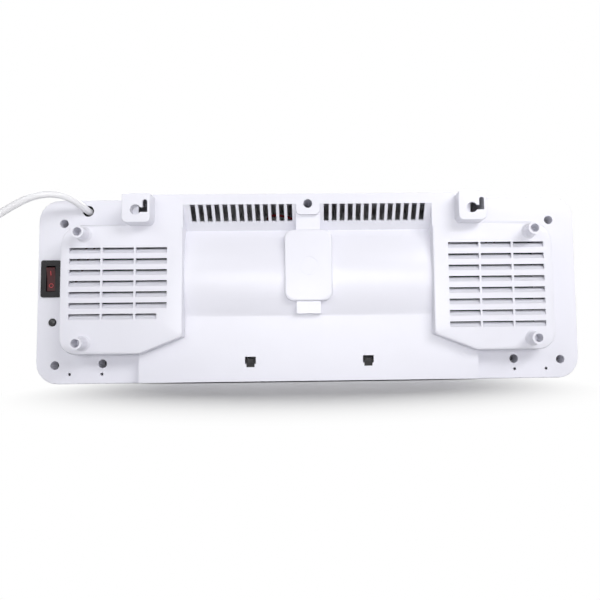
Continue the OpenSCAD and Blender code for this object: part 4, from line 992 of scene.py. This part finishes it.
@dataclass(frozen=True)
class Lamp:
    """One soft box, with its width and height in metres and its power in watts."""

    name: str
    place: Point
    size: tuple[float, float]
    power: float
    colour: Colour
    target: Point = (0.0, 0.0, MIDDLE_Z)

    def build(self) -> None:
        """Hangs the lamp in its place and turns it to its target."""
        data = bpy.data.lights.new(self.name, "AREA")
        data.shape = "RECTANGLE"
        data.size, data.size_y = self.size
        data.energy = self.power
        data.color = self.colour
        lamp = bpy.data.objects.new(self.name, data)
        bpy.context.scene.collection.objects.link(lamp)
        lamp.location = self.place
        lamp.rotation_euler = (Vector(self.target) - Vector(self.place)).to_track_quat("-Z", "Y").to_euler()


@dataclass
class Studio:
    """Camera, lamps, white ground and world.

    The ground is matt grey near the heater, where the grey deepens the lamps' shadow as painted shade, and
    plain white from ground_far on, which is where the photo's shadow ends. The change follows an oval that is
    deeper than it is wide.
    """

    eye: Point = (-0.0084, 0.55906, -0.13603)
    yaw: float = 1.2
    pitch: float = 4.234
    roll: float = -0.707
    lens: float = 36.0
    sensor: float = 36.0
    shift_x: float = -0.05
    clip_start: float = 0.01
    sky: Colour = (0.97, 0.97, 1.0)
    sky_level: float = 0.10
    floor_z: float = -0.1722
    floor_size: float = 60.0
    ground_shade_grey: Colour = (0.70, 0.70, 0.70)
    ground_near: float = 0.11
    ground_far: float = 0.25
    ground_deep: float = 0.85
    lamps: tuple[Lamp, ...] = (
        Lamp("key_right", (-0.75, 1.05, 0.55), (0.9, 0.4), 8.9, (1.0, 0.99, 1.0)),
        Lamp("fill_left", (0.70, 1.10, 0.50), (0.9, 0.4), 3.1, (0.96, 0.97, 1.0)),
        Lamp("front_low", (0.0, 1.45, -0.03), (0.9, 0.24), 6.4, (0.98, 0.98, 1.0)),
        Lamp("top_behind", (0.0, -0.98, 0.95), (2.4, 0.5), 23.0, (1.0, 1.0, 1.0), (0.0, 0.1, -0.17)))

    def build(self) -> None:
        """Sets the whole studio up."""
        self.camera()
        self.world()
        self.floor()
        for lamp in self.lamps:
            lamp.build()

    @staticmethod
    def swung(first: Vector, second: Vector, degrees: float) -> tuple[Vector, Vector]:
        """Turns two directions that stand square to each other, the first towards the second.

        Args:
            first: one direction.
            second: the other.
            degrees: the angle.

        Returns:
            Both directions after the turn.
        """
        a = math.radians(degrees)
        return first * math.cos(a) + second * math.sin(a), second * math.cos(a) - first * math.sin(a)

    def camera(self) -> None:
        """Stands the camera where the photo was taken from."""
        forward, right, up = Vector((0, -1, 0)), Vector((-1, 0, 0)), Vector((0, 0, 1))
        forward, right = self.swung(forward, right, self.yaw)
        forward, up = self.swung(forward, up, self.pitch)
        right, up = self.swung(right, up, self.roll)
        data = bpy.data.cameras.new("camera")
        data.lens = self.lens
        data.sensor_width = self.sensor
        data.shift_x = self.shift_x
        data.clip_start = self.clip_start
        camera = bpy.data.objects.new("camera", data)
        bpy.context.scene.collection.objects.link(camera)
        turn = Matrix((right, up, -forward)).transposed().to_4x4()
        camera.matrix_world = Matrix.Translation(self.eye) @ turn
        bpy.context.scene.camera = camera

    def world(self) -> None:
        """Lights softly from all round and shows plain white to the camera."""
        world = bpy.data.worlds.new("studio")
        bpy.context.scene.world = world
        world.use_nodes = True
        net = Net(world.node_tree)
        net.tree.nodes.clear()
        light = net.add("Background", {"Color": (*self.sky, 1.0), "Strength": self.sky_level})
        plain = net.add("Background", {"Color": (1.0, 1.0, 1.0, 1.0), "Strength": 1.0})
        mix = net.add("MixShader", {0: self.seen(net), 1: light.outputs[0], 2: plain.outputs[0]})
        net.add("OutputWorld", {"Surface": mix.outputs[0]})

    @staticmethod
    def seen(net: Net) -> Socket:
        """Tells what the camera sees from what lights the scene.

        Args:
            net: the nodes of the world or of the ground.

        Returns:
            A socket that is 1 for what is seen straight, mirrored or through glass, and 0 for light.
        """
        rays = net.add("LightPath").outputs
        mirrored = net.math("MAXIMUM", rays["Is Camera Ray"], rays["Is Glossy Ray"])
        return net.math("MAXIMUM", mirrored, rays["Is Transmission Ray"])

    def floor(self) -> None:
        """Lays a ground that keeps the shadow near the heater, grey there as painted shade, and is plain
        white further off.
        """
        bpy.ops.object.select_all(action="DESELECT")
        bpy.ops.mesh.primitive_plane_add(size=self.floor_size, location=(0.0, 0.0, self.floor_z))
        floor = bpy.context.object
        floor.name = "white_ground"
        material = bpy.data.materials.new("ground_white")
        material.use_nodes = True
        net = Net(material.node_tree)
        net.tree.nodes.clear()
        # Painted shade: the lamps cast the shadow, and the grey near the heater deepens it by colour.
        matt = net.add("BsdfDiffuse", {"Color": (*self.ground_shade_grey, 1.0)})
        plain = net.add("Emission", {"Strength": 1.0})
        stretch = (1.0, self.ground_deep, 1.0)
        oval = net.add("VectorMath", {0: net.object_point(), 1: stretch}, operation="MULTIPLY")
        away = net.add("VectorMath", {0: oval.outputs["Vector"]}, operation="LENGTH")
        ramp = net.add("MapRange", {
            "Value": away.outputs["Value"], "From Min": self.ground_near, "From Max": self.ground_far},
            interpolation_type="SMOOTHSTEP")
        far = net.math("MULTIPLY", ramp.outputs["Result"], self.seen(net))
        mix = net.add("MixShader", {0: far, 1: matt.outputs[0], 2: plain.outputs[0]})
        net.add("OutputMaterial", {"Surface": mix.outputs[0]})
        floor.data.materials.append(material)


def main() -> None:
    """Builds the studio, then the heater's pieces in order."""
    logging.basicConfig(level=logging.INFO, format="%(name)s: %(message)s")
    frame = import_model()
    bpy.context.scene.view_settings.view_transform = "Standard"
    bench = Bench(frame, FinishShelf())
    steps: tuple[tuple[str, Callable[[], None]], ...] = (
        ("studio", Studio().build), ("mains lead", MainsLead(bench).build), ("housing", Housing(bench).build),
        ("switch end", SwitchEnd(bench).build), ("fan", FanUnit(bench).build),
        ("heater", HeaterUnit(bench).build), ("electronics", Electronics(bench).build))
    for name, build in steps:
        build()
        LOG.info("%s done", name)


if __name__ == "__main__":
    main()
